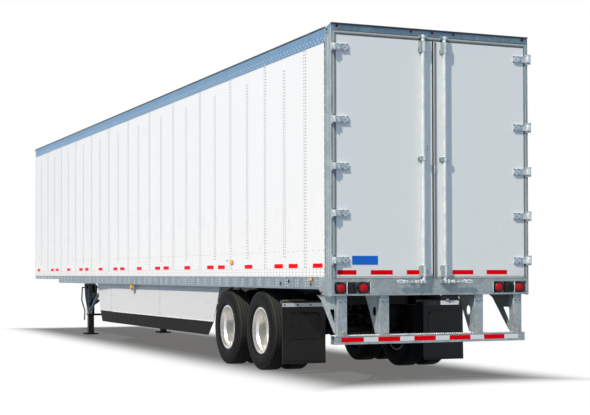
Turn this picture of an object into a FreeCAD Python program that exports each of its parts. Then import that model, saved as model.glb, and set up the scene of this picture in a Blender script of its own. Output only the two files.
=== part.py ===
import FreeCAD, Part
import math
import os

# A 53 ft dry van semi trailer, parked on its landing gear. Millimetres.
# While it is built, x runs forward from the rear face of the rear frame, y to the
# road side (left) and z up from the road. save() then shifts x so that the
# origin lies on the road under the middle of the whole trailer.

V = FreeCAD.Vector

# ------------------------------------------------------------------ overall
LENGTH = 16154.0           # rear frame face to nose
WIDTH = 2591.0             # over rails and posts
HEIGHT = 4060.0            # road to the top of the rear header
HALF = WIDTH / 2

# ------------------------------------------------------------------ wheels
TYRE_R = 508.0
TYRE_WIDTH = 270.0
TYRE_WALL = 20.0
TYRE_TUCK = 20.5           # outer tyre face inside the body side
DUAL_SPACING = 330.0       # middle of one tyre to middle of its twin
CROWN_DROP = 18.0          # shoulder's edge below and inside the tread
CROWN_INSET = 12.0
TREAD_ROUND = 22.0
BEAD_R = 286.0
RIM_WIDTH = 210.0
RIM_WALL = 9.0
RIM_LIP = 12.0             # lip above the bead seat
DISC_PLATE = 20.0
HUB_BORE_R = 110.0         # wheel disc over the hub pilot
HAND_HOLES = 10
HAND_HOLE_R = 25.0
HAND_HOLE_PCD_R = 196.0
DRUM_R = 224.0
DRUM_WALL = 15.0
DRUM_WIDTH = 230.0
SPINDLE_R = 45.0
SPINDLE_END_R = 35.0
SPINDLE_STEP = 30.0        # inside the disc joint
SPINDLE_REACH = 110.0      # outside it
CAP_REACH = 150.0
CAP_ROOM = 5.0             # spindle's end to the hub's head
DRUM_BACK = 5.0            # drum's back inside the inner disc
SHIELD_GAP = 16.0
SHIELD_THICK = 6.0
SHIELD_INSET = 24.0
AXLE_NECK = 30.0
DISC_FLAT = 62.0           # disc's flat beyond its bore
DISC_DISH = (30.0, 60.0)   # the barrel's thin part starts and ends this far from the middle
RUNNING_GAP = 0.3          # between faces that turn or slide on each other
AXLE_R = 63.5
AXLE_X = {"rear": 2310.0, "front": 3555.0}
DUAL_Y = HALF - TYRE_TUCK - TYRE_WIDTH / 2 - DUAL_SPACING / 2

# ------------------------------------------------------------------ floor
TYRE_ROOM = 40.0           # tyre top to underframe
BEAM_BOTTOM = 2 * TYRE_R + TYRE_ROOM
BEAM_HEIGHT = 102.0
BEAM_FLANGE = 60.0
BEAM_PLATE = 6.0
BEAM_PITCH = 305.0
BEAM_FIRST = 395.0
BEAM_TOP = BEAM_BOTTOM + BEAM_HEIGHT
FLOOR_THICK = 32.0
FLOOR_TOP = BEAM_TOP + FLOOR_THICK
FLOOR_EDGE = 35.5          # floor edge inside the body side
FLOOR_BOARDS = 8
BOARD_GAP = 2.0
COUPLER_DEPTH = 28.0       # coupler plate and ribs under the floor
COUPLER_PLATE = 8.0
COUPLER_Z = BEAM_TOP - COUPLER_DEPTH
COUPLER_BACK = 2404.0      # nose to the back of the coupler
COUPLER_RIB_PITCH = 300.0
KINGPIN_BACK = 914.0       # nose to kingpin
KINGPIN_NECK_R = 25.4
KINGPIN_FLANGE_R = 35.7
KINGPIN_COLLAR_R = 36.5
KINGPIN_DROP = 84.0
KINGPIN_FLANGE = 16.0
KINGPIN_COLLAR = 33.0
KINGPIN_BASE = (91.25, 12.0)   # radius and thickness of its base above the plate

# ------------------------------------------------------------------ walls
RAIL_SKIN = 3.5            # rail flange over the outside of the wall
WALL_THICK = 12.0
WALL_LEDGE = 7.0
RAIL_RISE = 10.0           # bottom rail above the floor
RAIL_WEB = 5.0
RAIL_START = 345.0
WALL_OUT = HALF - RAIL_SKIN
WALL_IN = WALL_OUT - WALL_THICK
WALL_BOTTOM = BEAM_TOP + WALL_LEDGE
WALL_TOP = HEIGHT - 40.0
SEAM_FIRST = 746.0
SEAM_PITCH = 1278.0
SEAM_GAP = 2.0
SPLICE_WIDTH = 90.0
SPLICE_THICK = 3.0
RAIL_TOP = FLOOR_TOP + RAIL_RISE
TOP_RAIL_DEPTH = 165.0
ROOF_UNDER = HEIGHT - 30.0
ROOF_THICK = 2.0
TOP_LIP = 9.0
TOP_LIP_WIDTH = 40.0
TOP_INNER_DEPTH = 80.0
TOP_INNER_THICK = 6.0
BOW_PITCH = 610.0
BOW_DEPTH = 32.0
BOW_WIDTH = 44.0
BOW_WALL = 3.0
CORNER_R = 90.0
CORNER_WALL = 5.0
NOSE_PANELS = 3
NOSE_RAIL_DEPTH = 140.0

# ------------------------------------------------------------------ rear frame
POST_DEPTH = 178.0
POST_WIDTH = 54.5
POST_LIP = 60.0
PLATE = 6.0
SILL_DEPTH = 120.0
SILL_HEIGHT = 195.0
SILL_STEP = 10.0           # sill top below the floor
SILL_TOP = FLOOR_TOP - SILL_STEP
SILL_BOTTOM = SILL_TOP - SILL_HEIGHT
HEADER_DEPTH = 120.0
HEADER_FALL = 40.0
HEADER_BOTTOM = HEIGHT - HEADER_DEPTH
HEADER_HOLE = (110.0, 60.0, 18.0)          # ahead of the rear face, below the top, radius
HEADER_SLOT = ((89.0, 128.0), (15.0, 25.0))  # ahead of the rear face, above the header's bottom
POST_FOOT = ((30.0, -10.0), (278.0, 13.0))   # side plate's lower edge: ahead, above the sill's bottom
POCKET_Y = (HALF - 495.5, HALF - 37.5)
POCKET_MARGIN = (20.0, 40.0)   # pocket above the sill's bottom and below its top
POCKET_DEPTH = 40.0
LAMP_Y = (HALF - 407.5, HALF - 122.5)
LAMP_Z = SILL_BOTTOM + 85.0
LAMP_R = 51.0
GROMMET_R = 64.0
GROMMET_THICK = 16.0
LAMP_RISE = 22.0           # lamp's rim behind the pocket's back
LENS_RISE = 4.0
JUNCTION_SIZE = (22.0, 90.0, 84.0)

# ------------------------------------------------------------------ doors
DOOR_THICK = 25.0
DOOR_GAP = 12.0            # between the two doors
DOOR_EDGE_GAP = 6.0
DOOR_BOTTOM_GAP = 6.0
DOOR_TOP_GAP = 8.0
POST_IN = HALF - POST_WIDTH
DOOR_OUT = POST_IN - DOOR_EDGE_GAP
DOOR_BOTTOM = SILL_TOP + DOOR_BOTTOM_GAP
DOOR_TOP = HEADER_BOTTOM - DOOR_TOP_GAP
PIN_BACK = 45.0            # hinge pin behind the rear face
PIN_OUT = 4.0              # hinge pin outside the body side
PIN_R = 6.0
PIN_GAP = 0.3
KNUCKLE_R = 11.0
STRAP_LENGTH = 205.0
STRAP_HEIGHT = 76.0
STRAP_FACE = 16.0          # strap's back behind the door face
STRAP_THICK = 10.0
LUG_GAP = 2.0
LUG_HEIGHT = 18.0
LUG_ROOT = (43.0, 3.0)     # lug's edges on the post, inside the body side
LUG_LEAN = ((6.0, 9.0), (-9.0, -6.0))      # its edges at the pin, from the pin's centre
STRAP_BEND = (9.0, 24.0)   # where the strap bends to the knuckle, inside the body side
STRAP_PAD = 5.0            # pad's end inside the door's edge
STRAP_LEAN = 35.0          # degrees
HINGE_LOW = 199.0
HINGE_HIGH = 142.0
HINGE_SHARES = (0.0, 0.22, 0.44, 0.66, 1.0)
ROD_Y = 140.0
ROD_R = 16.5
ROD_BACK = 33.0
ROD_FOOT = 60.0            # rod below the sill top
ROD_HEAD = 50.0            # rod above the header bottom
GUIDE_SIZE = (54.0, 80.0)  # behind the door face, across
GUIDE_TALL = (130.0, 50.0, 130.0)          # lower, middle, upper
GUIDE_INSET = 76.0         # lower and upper guides' middles inside the door's ends
CAM_SIZE = (37.0, 56.0, 40.0)
CAM_FACE = 9.5             # cam behind the sill and header faces
KEEPER_GAP = 8.0
KEEPER_CHEEK = 12.0
KEEPER_REACH = 36.0
KEEPER_BASE = 4.0
HANDLE_LENGTH = 370.0
HANDLE_THICK = 11.0
HANDLE_HEIGHT = 24.0
HANDLE_FACE = 43.0
HANDLE_START = 30.0        # handle's short end, past the rod

# ------------------------------------------------------------------ rear guard
GUARD_DROP = 452.0         # sill's bottom to the top of the bar
GUARD_BAR = 100.0
GUARD_WALL = 5.0
GUARD_FACE = 20.0
GUARD_POST = (155.0, 120.0)
GUARD_POST_WALL = 6.0
GUARD_END = 45.5           # bar's end inside the body side
GUARD_POST_Y = (HALF - 675.5, HALF - 145.5)
GUSSET_REACH = 540.0
GUSSET_LAP = 40.0          # plate's lap on the post
GUSSET_TOP = 90.0
GUSSET_TOE = (95.0, 15.0)  # foot of the slanted edge: ahead of the plate's rear edge, above the bar
GUSSET_NOSE = 15.0
GUSSET_FLANGE = 40.0
GUSSET_HOLES = ((65.0, 120.0), (65.0, 287.0), (185.0, 287.0))  # outer: ahead of the rear edge, above the toe
GUSSET_HOLE_R = 26.0
GUSSET_SLOT = (105.0, 65.0, 125.0, 24.0)   # inner: ahead, ends below the top, radius
BRACE_WIDTH = 44.0
BRACE_LAP = 40.0
BRACE_FOOT = (60.0, 20.0)  # its foot behind the plate's front edge
BRACE_HEAD = (22.0, -8.0)  # its head behind the beam
LICENCE_DROP = 66.0
LICENCE_PLATE = 3.0
HANGER_LAP = 34.0
HANGER_INSET = 50.0
LICENCE_IN = 270.0         # plate inside the middle of the right inner post
LICENCE_SIZE = (240.0, 50.0)

# ------------------------------------------------------------------ bogie
SUSPENSION_IN = 465.0      # suspension line inside the dual centre
SUSPENSION_Y = DUAL_Y - SUSPENSION_IN
SLIDE_BACK = 609.6
SLIDER_RAIL_HEIGHT = 90.0
SLIDER_FLANGE = 100.0
SLIDER_PLATE = 8.0
SLIDER_MARGIN = 30.0
BOGIE_RAIL_HEIGHT = 135.0
BOGIE_RAIL_WIDTH = 130.0
BOGIE_RAIL_WALL = 8.0
BOGIE_REAR = 820.0         # rail's end behind the rear axle
BOGIE_FRONT = 695.0
BOGIE_TOP = BEAM_BOTTOM - SLIDER_RAIL_HEIGHT - RUNNING_GAP
BOGIE_BOTTOM = BOGIE_TOP - BOGIE_RAIL_HEIGHT
CLIP_LENGTH = 120.0
PIVOT_AHEAD = 560.0
PIVOT_Z = TYRE_R + 92.0
PIVOT_R = 18.0
EYE_R = 60.0
ARM_WIDTH = 90.0
HANGER_PLATE = 12.0
HANGER_DROP = 70.0
SPRING_BEHIND = 230.0
SPRING_SEAT = 82.0         # spring seat above the axle centre
SPRING_R = 120.0
BRAKE_IN = 190.0           # brake chambers inside the suspension line
TANK_R = 120.0
TANK_LENGTH = 760.0
TANK_AHEAD = 750.0
FLAP_BEHIND = 790.0        # flap behind the rear axle
FLAP_THICK = 8.0
FLAP_BOTTOM = 125.0
FLAP_TOP = BOGIE_BOTTOM + 42.3
FLAP_WIDTH = 580.0
FLAP_TUCK = 25.5
FLAP_STRIP = 47.0
FLAP_TUBE_R = 22.0

# ------------------------------------------------------------------ landing gear
LEG_BACK = 3054.0          # nose to the legs
LEG_Y = HALF - 520.5
LEG_SIZE = 125.0
LEG_WALL = 6.0
LEG_BOTTOM = 390.0
LEG_FIT = 0.3
LEG_COLLAR = (8.0, 35.0)    # thickness and height
FOOT = (300.0, 250.0, 12.0)
LEG_TOP_PLATE = 14.0
GEAR_BOX = (110.0, 60.0, 190.0)
GEAR_SHAFT_DROP = 95.0
GEAR_SHAFT_R = 18.0
CRANK_R = 12.5
GEAR_DROP = 40.0           # gearbox's middle below the shaft
CRANK_HUB = (30.0, 90.0)   # length and height of the crank's gear cover
CRANK_PATH = ((105.0, 0.0), (118.0, -255.0), (52.0, -480.0), (60.0, -660.0))   # outwards, up
LEG_CAP_REACH = 40.0
BRACKET_THICK = 8.0
BRACKET_LOW = 45.0
BRACKET_HALF = (45.0, 150.0, 120.0)        # half widths at its foot, shoulder and top
BRACKET_SHOULDER = 170.0
WINDOW_HALF = (22.0, 75.0)
WINDOW_ENDS = (110.0, 190.0, 130.0)        # above the foot, below the top at its sides and middle
BRACE_BACK = 1000.0
BRACE_RISE = 110.0
BRACE_DEPTH = 60.0
BRACE_HALF = (20.0, 25.0)  # half its width, and half its head's length
CROSS_BAR = (25.0, 5.0)    # half width, and below the leg's end
TIE_RISE = 170.0
TIE_DEPTH = 60.0
TIE_HEAD = (50.0, 110.0)
TIE_HALF = 10.0
FOOT_TURN = (25.0, 30.0, 8.0)  # turned up edge: height, and insets of its upper side
FOOT_SOCKET = 20.0
FOOT_LAP = 300.0           # inner leg's lap in the outer leg

# ------------------------------------------------------------------ skirts
SKIRT_Y = HALF - 75.5      # outer face
SKIRT_THICK = 7.0
SKIRT_HEM = 560.0
STRIP_BOTTOM = 360.0
STRIP_THICK = 6.0
SKIRT_REAR = {"top": -133.0, "hem": 142.0, "strip": 377.0}       # ahead of the front tyre
SKIRT_FRONT = {"top": 5164.0, "hem": 5434.0, "strip": 5594.0}    # behind the nose
SKIRT_REAR_SECTION = 2870.0
SKIRT_FRONT_SECTION = 1210.0
SKIRT_TOE_IN = 50.0
SKIRT_BRACE_EVERY = 3      # crossmembers
SKIRT_BRACE_FOOT = (60.0, 110.0)           # above the hem
SKIRT_BRACE_HEAD = (330.0, 375.0)          # inside the skirt
SKIRT_BRACE_HALF = 20.0

# ------------------------------------------------------------------ service box
NOSE_REACH = 60.0
BOX_PLATE = 12.0
BOX_SIZE = (520.0, 150.0)
BOX_Z = FLOOR_TOP + 215.0
SOCKET_R = 32.0
SOCKET_BORE_R = 26.0
SOCKET_DEPTH = 40.0
GLADHAND_Y = 190.0
GLADHAND_R = 22.0
GLADHAND_WIDTH = 34.0
GLADHAND_NECK_R = 14.0
SOCKET_INSET = 6.0

ORIGIN_X = (LENGTH + NOSE_REACH - PIN_BACK - KNUCKLE_R) / 2


# ------------------------------------------------------------------ helpers
PLANES = {
    "x": lambda a, b, along: V(along, a, b),
    "y": lambda a, b, along: V(a, along, b),
    "z": lambda a, b, along: V(a, b, along),
}


def box(x, y, z):
    """A block; each argument is a (low, high) pair."""
    return Part.makeBox(x[1] - x[0], y[1] - y[0], z[1] - z[0], V(x[0], y[0], z[0]))


def outline(points, place, along=0.0):
    """A closed wire. A pair of numbers is a corner; four are an arc through the first pair."""
    corners = [place(*point[-2:], along) for point in points]
    edges = []
    for number, point in enumerate(points):
        start, end = corners[number - 1], corners[number]
        if len(point) == 4:
            edges.append(Part.Arc(start, place(*point[:2], along), end).toShape())
        elif start.distanceToPoint(end) > 1e-6:
            edges.append(Part.LineSegment(start, end).toShape())
    return Part.Wire(edges)


def prism(axis, points, ends):
    """An outline in the other two axes (X, Y, Z order), drawn out along one axis."""
    place = PLANES[axis]
    return Part.Face(outline(points, place, ends[0])).extrude(place(0, 0, ends[1] - ends[0]))


def round_bar(axis, at, radius, ends):
    place = PLANES[axis]
    return Part.makeCylinder(radius, ends[1] - ends[0], place(*at, ends[0]), place(0, 0, 1))


def turned(axis, at, profile):
    """A profile of (radius, place along the axis) points, turned about the axis."""
    place = PLANES[axis]
    face = Part.Face(outline([shifted(at[0], point) for point in profile],
                             lambda a, b, along: place(a, at[1], b)))
    return face.revolve(place(*at, 0), place(0, 0, 1), 360)


def shifted(offset, point):
    """The radius of each pair in a point, moved out from the axis."""
    return tuple(value + offset * (1 - index % 2) for index, value in enumerate(point))


def strut(start, end, radius):
    run = V(*end) - V(*start)
    return Part.makeCylinder(radius, run.Length, V(*start), run)


def mirrored(shape):
    return shape.mirror(V(0, 0, 0), V(0, 1, 0))


def both_sides(shapes):
    return shapes + [mirrored(shape) for shape in shapes]


def between(low, high, pitch):
    """Places from low, a pitch apart, that stay under high."""
    return [low + pitch * step for step in range(int((high - low) / pitch) + 1)]


def save(node, solids):
    """Write one node, with the origin under the middle of the trailer."""
    pieces = []
    for shape in solids:
        pieces.extend(shape.Solids)
    whole = Part.makeCompound(pieces)
    whole.translate(V(-ORIGIN_X, 0, 0))
    whole.exportStep("parts/" + node + ".step")
    print(node, len(pieces), "solids", round(sum(piece.Volume for piece in pieces) / 1e6, 2), "l")


# ------------------------------------------------------------------ floor and rails
def floor_boards():
    half = HALF - FLOOR_EDGE
    width = 2 * half / FLOOR_BOARDS
    nose = LENGTH - RAIL_SKIN - WALL_THICK - SPLICE_THICK
    post = CORNER_R - CORNER_WALL - BOARD_GAP
    corner = LENGTH - CORNER_R + math.sqrt(post ** 2 - (half - HALF + CORNER_R) ** 2)
    boards = []
    for number in range(FLOOR_BOARDS):
        low = -half + width * number
        end = corner if number in (0, FLOOR_BOARDS - 1) else nose
        boards.append(box((SILL_DEPTH, end), (low, low + width - BOARD_GAP), (BEAM_TOP, FLOOR_TOP)))
    return boards


def beam_places():
    return between(BEAM_FIRST, LENGTH - COUPLER_BACK - BEAM_FLANGE, BEAM_PITCH)


def crossmembers():
    foot, web = BEAM_FLANGE / 2, BEAM_PLATE / 2
    low, high = BEAM_BOTTOM + BEAM_PLATE, BEAM_TOP - BEAM_PLATE
    right = [(foot, BEAM_BOTTOM), (foot, low), (web, low), (web, high), (foot, high), (foot, BEAM_TOP)]
    left = [(-x, z) for x, z in reversed(right)]
    section = right + left
    reach = HALF - RAIL_WEB
    beams = []
    for place in beam_places():
        beams.append(prism("y", [(place + x, z) for x, z in section], (-reach, reach)))
    return beams


def slider_places():
    """Ends of the body rails that the bogie slides along."""
    rear = AXLE_X["rear"] - BOGIE_REAR - SLIDE_BACK - SLIDER_MARGIN
    return rear, AXLE_X["front"] + BOGIE_FRONT + SLIDER_MARGIN


def slider_rails():
    mid, half = SUSPENSION_Y, SLIDER_FLANGE / 2
    low, high = BEAM_BOTTOM - SLIDER_RAIL_HEIGHT, BEAM_BOTTOM
    web = SLIDER_PLATE / 2
    right = [(mid + half, low), (mid + half, low + SLIDER_PLATE), (mid + web, low + SLIDER_PLATE),
             (mid + web, high - SLIDER_PLATE), (mid + half, high - SLIDER_PLATE), (mid + half, high)]
    left = [(2 * mid - y, z) for y, z in reversed(right)]
    return both_sides([prism("x", right + left, slider_places())])


def bottom_rails():
    edge = HALF - FLOOR_EDGE + BOARD_GAP

    def run(low, ends):
        return prism("x", [(HALF, low), (HALF, RAIL_TOP), (WALL_OUT, RAIL_TOP), (WALL_OUT, WALL_BOTTOM),
                           (edge, WALL_BOTTOM), (edge, BEAM_TOP), (HALF - RAIL_WEB, BEAM_TOP),
                           (HALF - RAIL_WEB, low)], ends)

    step = LENGTH - COUPLER_BACK - BEAM_FLANGE / 2
    rail = run(BEAM_BOTTOM, (RAIL_START, step)).fuse(run(COUPLER_Z, (step, LENGTH - CORNER_R)))
    return both_sides([rail.removeSplitter()])


def top_rails():
    low = ROOF_UNDER - TOP_RAIL_DEPTH
    inner = WALL_IN - TOP_INNER_THICK
    lip = WALL_OUT - TOP_LIP_WIDTH
    section = [(HALF, low), (HALF, ROOF_UNDER), (lip, ROOF_UNDER), (lip, WALL_TOP), (inner, WALL_TOP),
               (inner, WALL_TOP - TOP_INNER_DEPTH), (WALL_IN, WALL_TOP - TOP_INNER_DEPTH),
               (WALL_IN, WALL_TOP), (WALL_OUT, WALL_TOP), (WALL_OUT, low)]
    return both_sides([prism("x", section, (POST_DEPTH, LENGTH - CORNER_R))])


def seam_places():
    return between(SEAM_FIRST, LENGTH - CORNER_R - SPLICE_WIDTH, SEAM_PITCH)


def wall():
    """The left wall: its panels and the strips that join them inside."""
    edges = [POST_DEPTH] + seam_places() + [LENGTH - CORNER_R]
    pieces = []
    for low, high in zip(edges[:-1], edges[1:]):
        ends = (low + SEAM_GAP / 2, high - SEAM_GAP / 2)
        pieces.append(box(ends, (WALL_IN, WALL_OUT), (WALL_BOTTOM, WALL_TOP)))
    for seam in seam_places():
        ends = (seam - SPLICE_WIDTH / 2, seam + SPLICE_WIDTH / 2)
        pieces.append(box(ends, (WALL_IN - SPLICE_THICK, WALL_IN),
                          (FLOOR_TOP, WALL_TOP - TOP_INNER_DEPTH)))
    return pieces


def nose_seams():
    half = HALF - CORNER_R
    return [-half + 2 * half * number / NOSE_PANELS for number in range(NOSE_PANELS + 1)]


def front_wall():
    ends = (LENGTH - RAIL_SKIN - WALL_THICK, LENGTH - RAIL_SKIN)
    seams = nose_seams()
    pieces = []
    for low, high in zip(seams[:-1], seams[1:]):
        pieces.append(box(ends, (low + SEAM_GAP / 2, high - SEAM_GAP / 2), (WALL_BOTTOM, WALL_TOP)))
    for seam in seams[1:-1]:
        pieces.append(box((ends[0] - SPLICE_THICK, ends[0]), (seam - SPLICE_WIDTH / 2, seam + SPLICE_WIDTH / 2),
                          (FLOOR_TOP, WALL_TOP)))
    return pieces


def front_posts():
    x, y = LENGTH - CORNER_R, HALF - CORNER_R
    slant = math.sqrt(0.5)
    inner = CORNER_R - CORNER_WALL
    ring = [(x, y + inner), (x, HALF), (x + CORNER_R * slant, y + CORNER_R * slant, LENGTH, y),
            (x + inner, y), (x + inner * slant, y + inner * slant, x, y + inner)]
    return both_sides([prism("z", ring, (COUPLER_Z, ROOF_UNDER))])


def front_rails():
    half = HALF - CORNER_R
    face = (LENGTH - RAIL_SKIN, LENGTH)
    lower = box(face, (-half, half), (COUPLER_Z, COUPLER_Z + NOSE_RAIL_DEPTH))
    ledge = box((LENGTH - RAIL_SKIN - WALL_THICK, LENGTH), (-half, half), (BEAM_TOP, WALL_BOTTOM))
    upper = box(face, (-half, half), (ROOF_UNDER - TOP_RAIL_DEPTH, ROOF_UNDER))
    lip = box((LENGTH - TOP_LIP_WIDTH, LENGTH), (-half, half), (WALL_TOP, ROOF_UNDER))
    return [lower.fuse(ledge).removeSplitter(), upper.fuse(lip).removeSplitter()]


def roof_sheet():
    reach = HALF - RAIL_SKIN
    x, y = LENGTH - CORNER_R, reach - CORNER_R
    slant = math.sqrt(0.5) * CORNER_R
    corner = [(POST_DEPTH, -reach), (x, -reach), (x + slant, -y - slant, LENGTH, -y),
              (LENGTH, y), (x + slant, y + slant, x, reach), (POST_DEPTH, reach)]
    return [prism("z", corner, (ROOF_UNDER, ROOF_UNDER + ROOF_THICK))]


def roof_bows():
    half, wall_thick = BOW_WIDTH / 2, BOW_WALL
    low = ROOF_UNDER - BOW_DEPTH
    reach = WALL_OUT - TOP_LIP_WIDTH
    section = [(-half, low), (half, low), (half, ROOF_UNDER), (half - wall_thick, ROOF_UNDER),
               (half - wall_thick, low + wall_thick), (-half + wall_thick, low + wall_thick),
               (-half + wall_thick, ROOF_UNDER), (-half, ROOF_UNDER)]
    bows = []
    for place in between(POST_DEPTH + BOW_PITCH / 2, LENGTH - BOW_PITCH / 2, BOW_PITCH):
        bows.append(prism("y", [(place + x, z) for x, z in section], (-reach, reach)))
    return bows


# ------------------------------------------------------------------ rear frame
def rear_posts():
    channel = prism("z", [(0, POST_IN), (0, HALF), (POST_DEPTH, HALF), (POST_DEPTH, HALF - PLATE),
                          (PLATE, HALF - PLATE), (PLATE, POST_IN + PLATE), (POST_LIP, POST_IN + PLATE),
                          (POST_LIP, POST_IN)], (SILL_TOP, HEADER_BOTTOM))
    edge = [(x, SILL_BOTTOM + rise) for x, rise in POST_FOOT]
    back = [(RAIL_START, BEAM_BOTTOM), (RAIL_START, RAIL_TOP), (0, RAIL_TOP)]
    foot = prism("y", [(0, SILL_BOTTOM)] + edge + back, (WALL_OUT, HALF))
    return both_sides([channel.fuse(foot).removeSplitter()])


def rear_header():
    front = POST_DEPTH
    shell = prism("y", [(0, HEADER_BOTTOM), (0, HEIGHT), (front, HEIGHT - HEADER_FALL), (front, HEADER_BOTTOM)],
                  (-HALF, HALF))
    low = HEADER_BOTTOM + PLATE
    hollow = prism("y", [(PLATE, low), (PLATE, HEIGHT - PLATE), (front + 1, HEIGHT - HEADER_FALL - PLATE),
                         (front + 1, low)], (-HALF + PLATE, HALF - PLATE))
    through = (-HALF - 1, HALF + 1)
    hole = round_bar("y", (HEADER_HOLE[0], HEIGHT - HEADER_HOLE[1]), HEADER_HOLE[2], through)
    slot = box(HEADER_SLOT[0], through, [HEADER_BOTTOM + rise for rise in HEADER_SLOT[1]])
    return [shell.cut(hollow).cut(hole).cut(slot)]


def rear_sill():
    reach = WALL_OUT
    shell = box((0, SILL_DEPTH), (-reach, reach), (SILL_BOTTOM, SILL_TOP))
    hollow = box((PLATE, SILL_DEPTH + 1), (-reach + PLATE, reach - PLATE),
                 (SILL_BOTTOM + PLATE, SILL_TOP - PLATE))
    sill = shell.cut(hollow)
    low, high = SILL_BOTTOM + POCKET_MARGIN[0], SILL_TOP - POCKET_MARGIN[1]
    pocket = box((-1, POCKET_DEPTH), POCKET_Y, (low, high))
    case_y = (POCKET_Y[0] - PLATE, POCKET_Y[1] + PLATE)
    case = box((0, POCKET_DEPTH + PLATE), case_y, (low - PLATE, high + PLATE))
    for tool, body in zip(both_sides([pocket]), both_sides([case])):
        sill = sill.fuse(body).cut(tool)
    reach = POST_IN - BOARD_GAP
    threshold = box((POCKET_DEPTH, SILL_DEPTH), (-reach, reach), (SILL_TOP, FLOOR_TOP))
    return [sill.fuse(threshold).removeSplitter()]


def tail_lamps():
    back = POCKET_DEPTH
    rim_x = back - LAMP_RISE
    lens = rim_x - LENS_RISE
    profile = [(0, back), (GROMMET_R, back), (GROMMET_R, back - GROMMET_THICK), (LAMP_R + LENS_RISE, rim_x),
               (LAMP_R, rim_x), (LAMP_R, lens), (0, lens)]
    lamps = [turned("x", (place, LAMP_Z), profile) for place in LAMP_Y]
    deep, wide, tall = JUNCTION_SIZE
    junction = box((back - deep, back), span(sum(LAMP_Y) / 2, wide / 2), span(LAMP_Z, tall / 2))
    return both_sides(lamps + [junction])


# ------------------------------------------------------------------ doors
def hinge_places():
    low, high = DOOR_BOTTOM + HINGE_LOW, DOOR_TOP - HINGE_HIGH
    return [low + share * (high - low) for share in HINGE_SHARES]


PIN_AT = (-PIN_BACK, HALF + PIN_OUT)


def hinge_brackets():
    x, y = PIN_AT
    brackets = []
    ear = [(0, HALF - root) for root in LUG_ROOT] + [(x + back, y + out) for back, out in LUG_LEAN]
    for place in hinge_places():
        bracket = round_bar("z", PIN_AT, PIN_R, span(place, STRAP_HEIGHT / 2 + LUG_GAP + LUG_HEIGHT))
        for side in (-1, 1):
            middle = place + side * (STRAP_HEIGHT / 2 + LUG_GAP + LUG_HEIGHT / 2)
            ends = span(middle, LUG_HEIGHT / 2)
            bracket = bracket.fuse([prism("z", ear, ends), round_bar("z", PIN_AT, KNUCKLE_R, ends)])
        brackets.append(bracket.removeSplitter())
    return both_sides(brackets)


def span(middle, half):
    return middle - half, middle + half


def hinge_straps():
    x, y = PIN_AT
    inner = HALF - STRAP_LENGTH
    back, front = -STRAP_FACE, -STRAP_FACE + STRAP_THICK
    lean = math.radians(STRAP_LEAN)
    out = (KNUCKLE_R * math.sin(lean), KNUCKLE_R * math.cos(lean))
    pad = DOOR_OUT - STRAP_PAD
    leaf = [(0, inner), (0, pad), (front, pad), (front, HALF - STRAP_BEND[0]), (x + out[0], y + out[1]),
            (x - out[0], y - out[1]), (back, HALF - STRAP_BEND[1]), (back, inner)]
    straps = []
    for place in hinge_places():
        ends = span(place, STRAP_HEIGHT / 2)
        strap = prism("z", leaf, ends).fuse(round_bar("z", PIN_AT, KNUCKLE_R, ends))
        hole = round_bar("z", PIN_AT, PIN_R + PIN_GAP, (ends[0] - 1, ends[1] + 1))
        straps.append(strap.cut(hole).removeSplitter())
    return straps


def door():
    return [box((0, DOOR_THICK), (DOOR_GAP / 2, DOOR_OUT), (DOOR_BOTTOM, DOOR_TOP))]


def rod_ends():
    return SILL_TOP - ROD_FOOT, HEADER_BOTTOM + ROD_HEAD


def lock_rod():
    """The rod with its two cams and handle, and the guides that hold it on the door."""
    low, high = rod_ends()
    rod = round_bar("z", (-ROD_BACK, ROD_Y), ROD_R, (low, high))
    depth, width, height = CAM_SIZE
    cam_x = (-CAM_FACE - depth, -CAM_FACE)
    cams = [box(cam_x, span(ROD_Y, width / 2), ends) for ends in ((low, low + height), (high - height, high))]
    handle_z = low + height / 2
    start = ROD_Y - HANDLE_START
    handle = box((-HANDLE_FACE - HANDLE_THICK, -HANDLE_FACE), (start, start + HANDLE_LENGTH),
                 span(handle_z, HANDLE_HEIGHT / 2))
    pieces = [rod.fuse(cams + [handle]).removeSplitter()]
    deep, wide = GUIDE_SIZE
    places = (DOOR_BOTTOM + GUIDE_INSET, (DOOR_BOTTOM + DOOR_TOP) / 2, DOOR_TOP - GUIDE_INSET)
    for place, tall in zip(places, GUIDE_TALL):
        guide = box((-deep, 0), span(ROD_Y, wide / 2), span(place, tall / 2))
        hole = round_bar("z", (-ROD_BACK, ROD_Y), ROD_R + PIN_GAP, span(place, tall))
        pieces.append(guide.cut(hole))
    return pieces


def rod_keepers():
    """Open keepers on the sill and the header, one round each cam."""
    low, high = rod_ends()
    depth, width, height = CAM_SIZE
    inner = width / 2 + KEEPER_GAP
    outer = inner + KEEPER_CHEEK
    section = [(0, -outer), (0, outer), (-KEEPER_REACH, outer), (-KEEPER_REACH, inner), (-KEEPER_BASE, inner),
               (-KEEPER_BASE, -inner), (-KEEPER_REACH, -inner), (-KEEPER_REACH, -outer)]
    keepers = []
    for ends in ((low, low + height), (high - height, high)):
        keepers.append(prism("z", [(x, ROD_Y + y) for x, y in section], ends))
    return both_sides(keepers)


# ------------------------------------------------------------------ rear guard
GUARD_TOP = SILL_BOTTOM - GUARD_DROP


def guard_bar():
    outer = (GUARD_FACE, GUARD_FACE + GUARD_BAR)
    inner = (outer[0] + GUARD_WALL, outer[1] - GUARD_WALL)
    reach = HALF - GUARD_END
    low = GUARD_TOP - GUARD_BAR
    shell = box(outer, (-reach, reach), (low, GUARD_TOP))
    return [shell.cut(box(inner, (-reach - 1, reach + 1), (low + GUARD_WALL, GUARD_TOP - GUARD_WALL)))]


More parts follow.
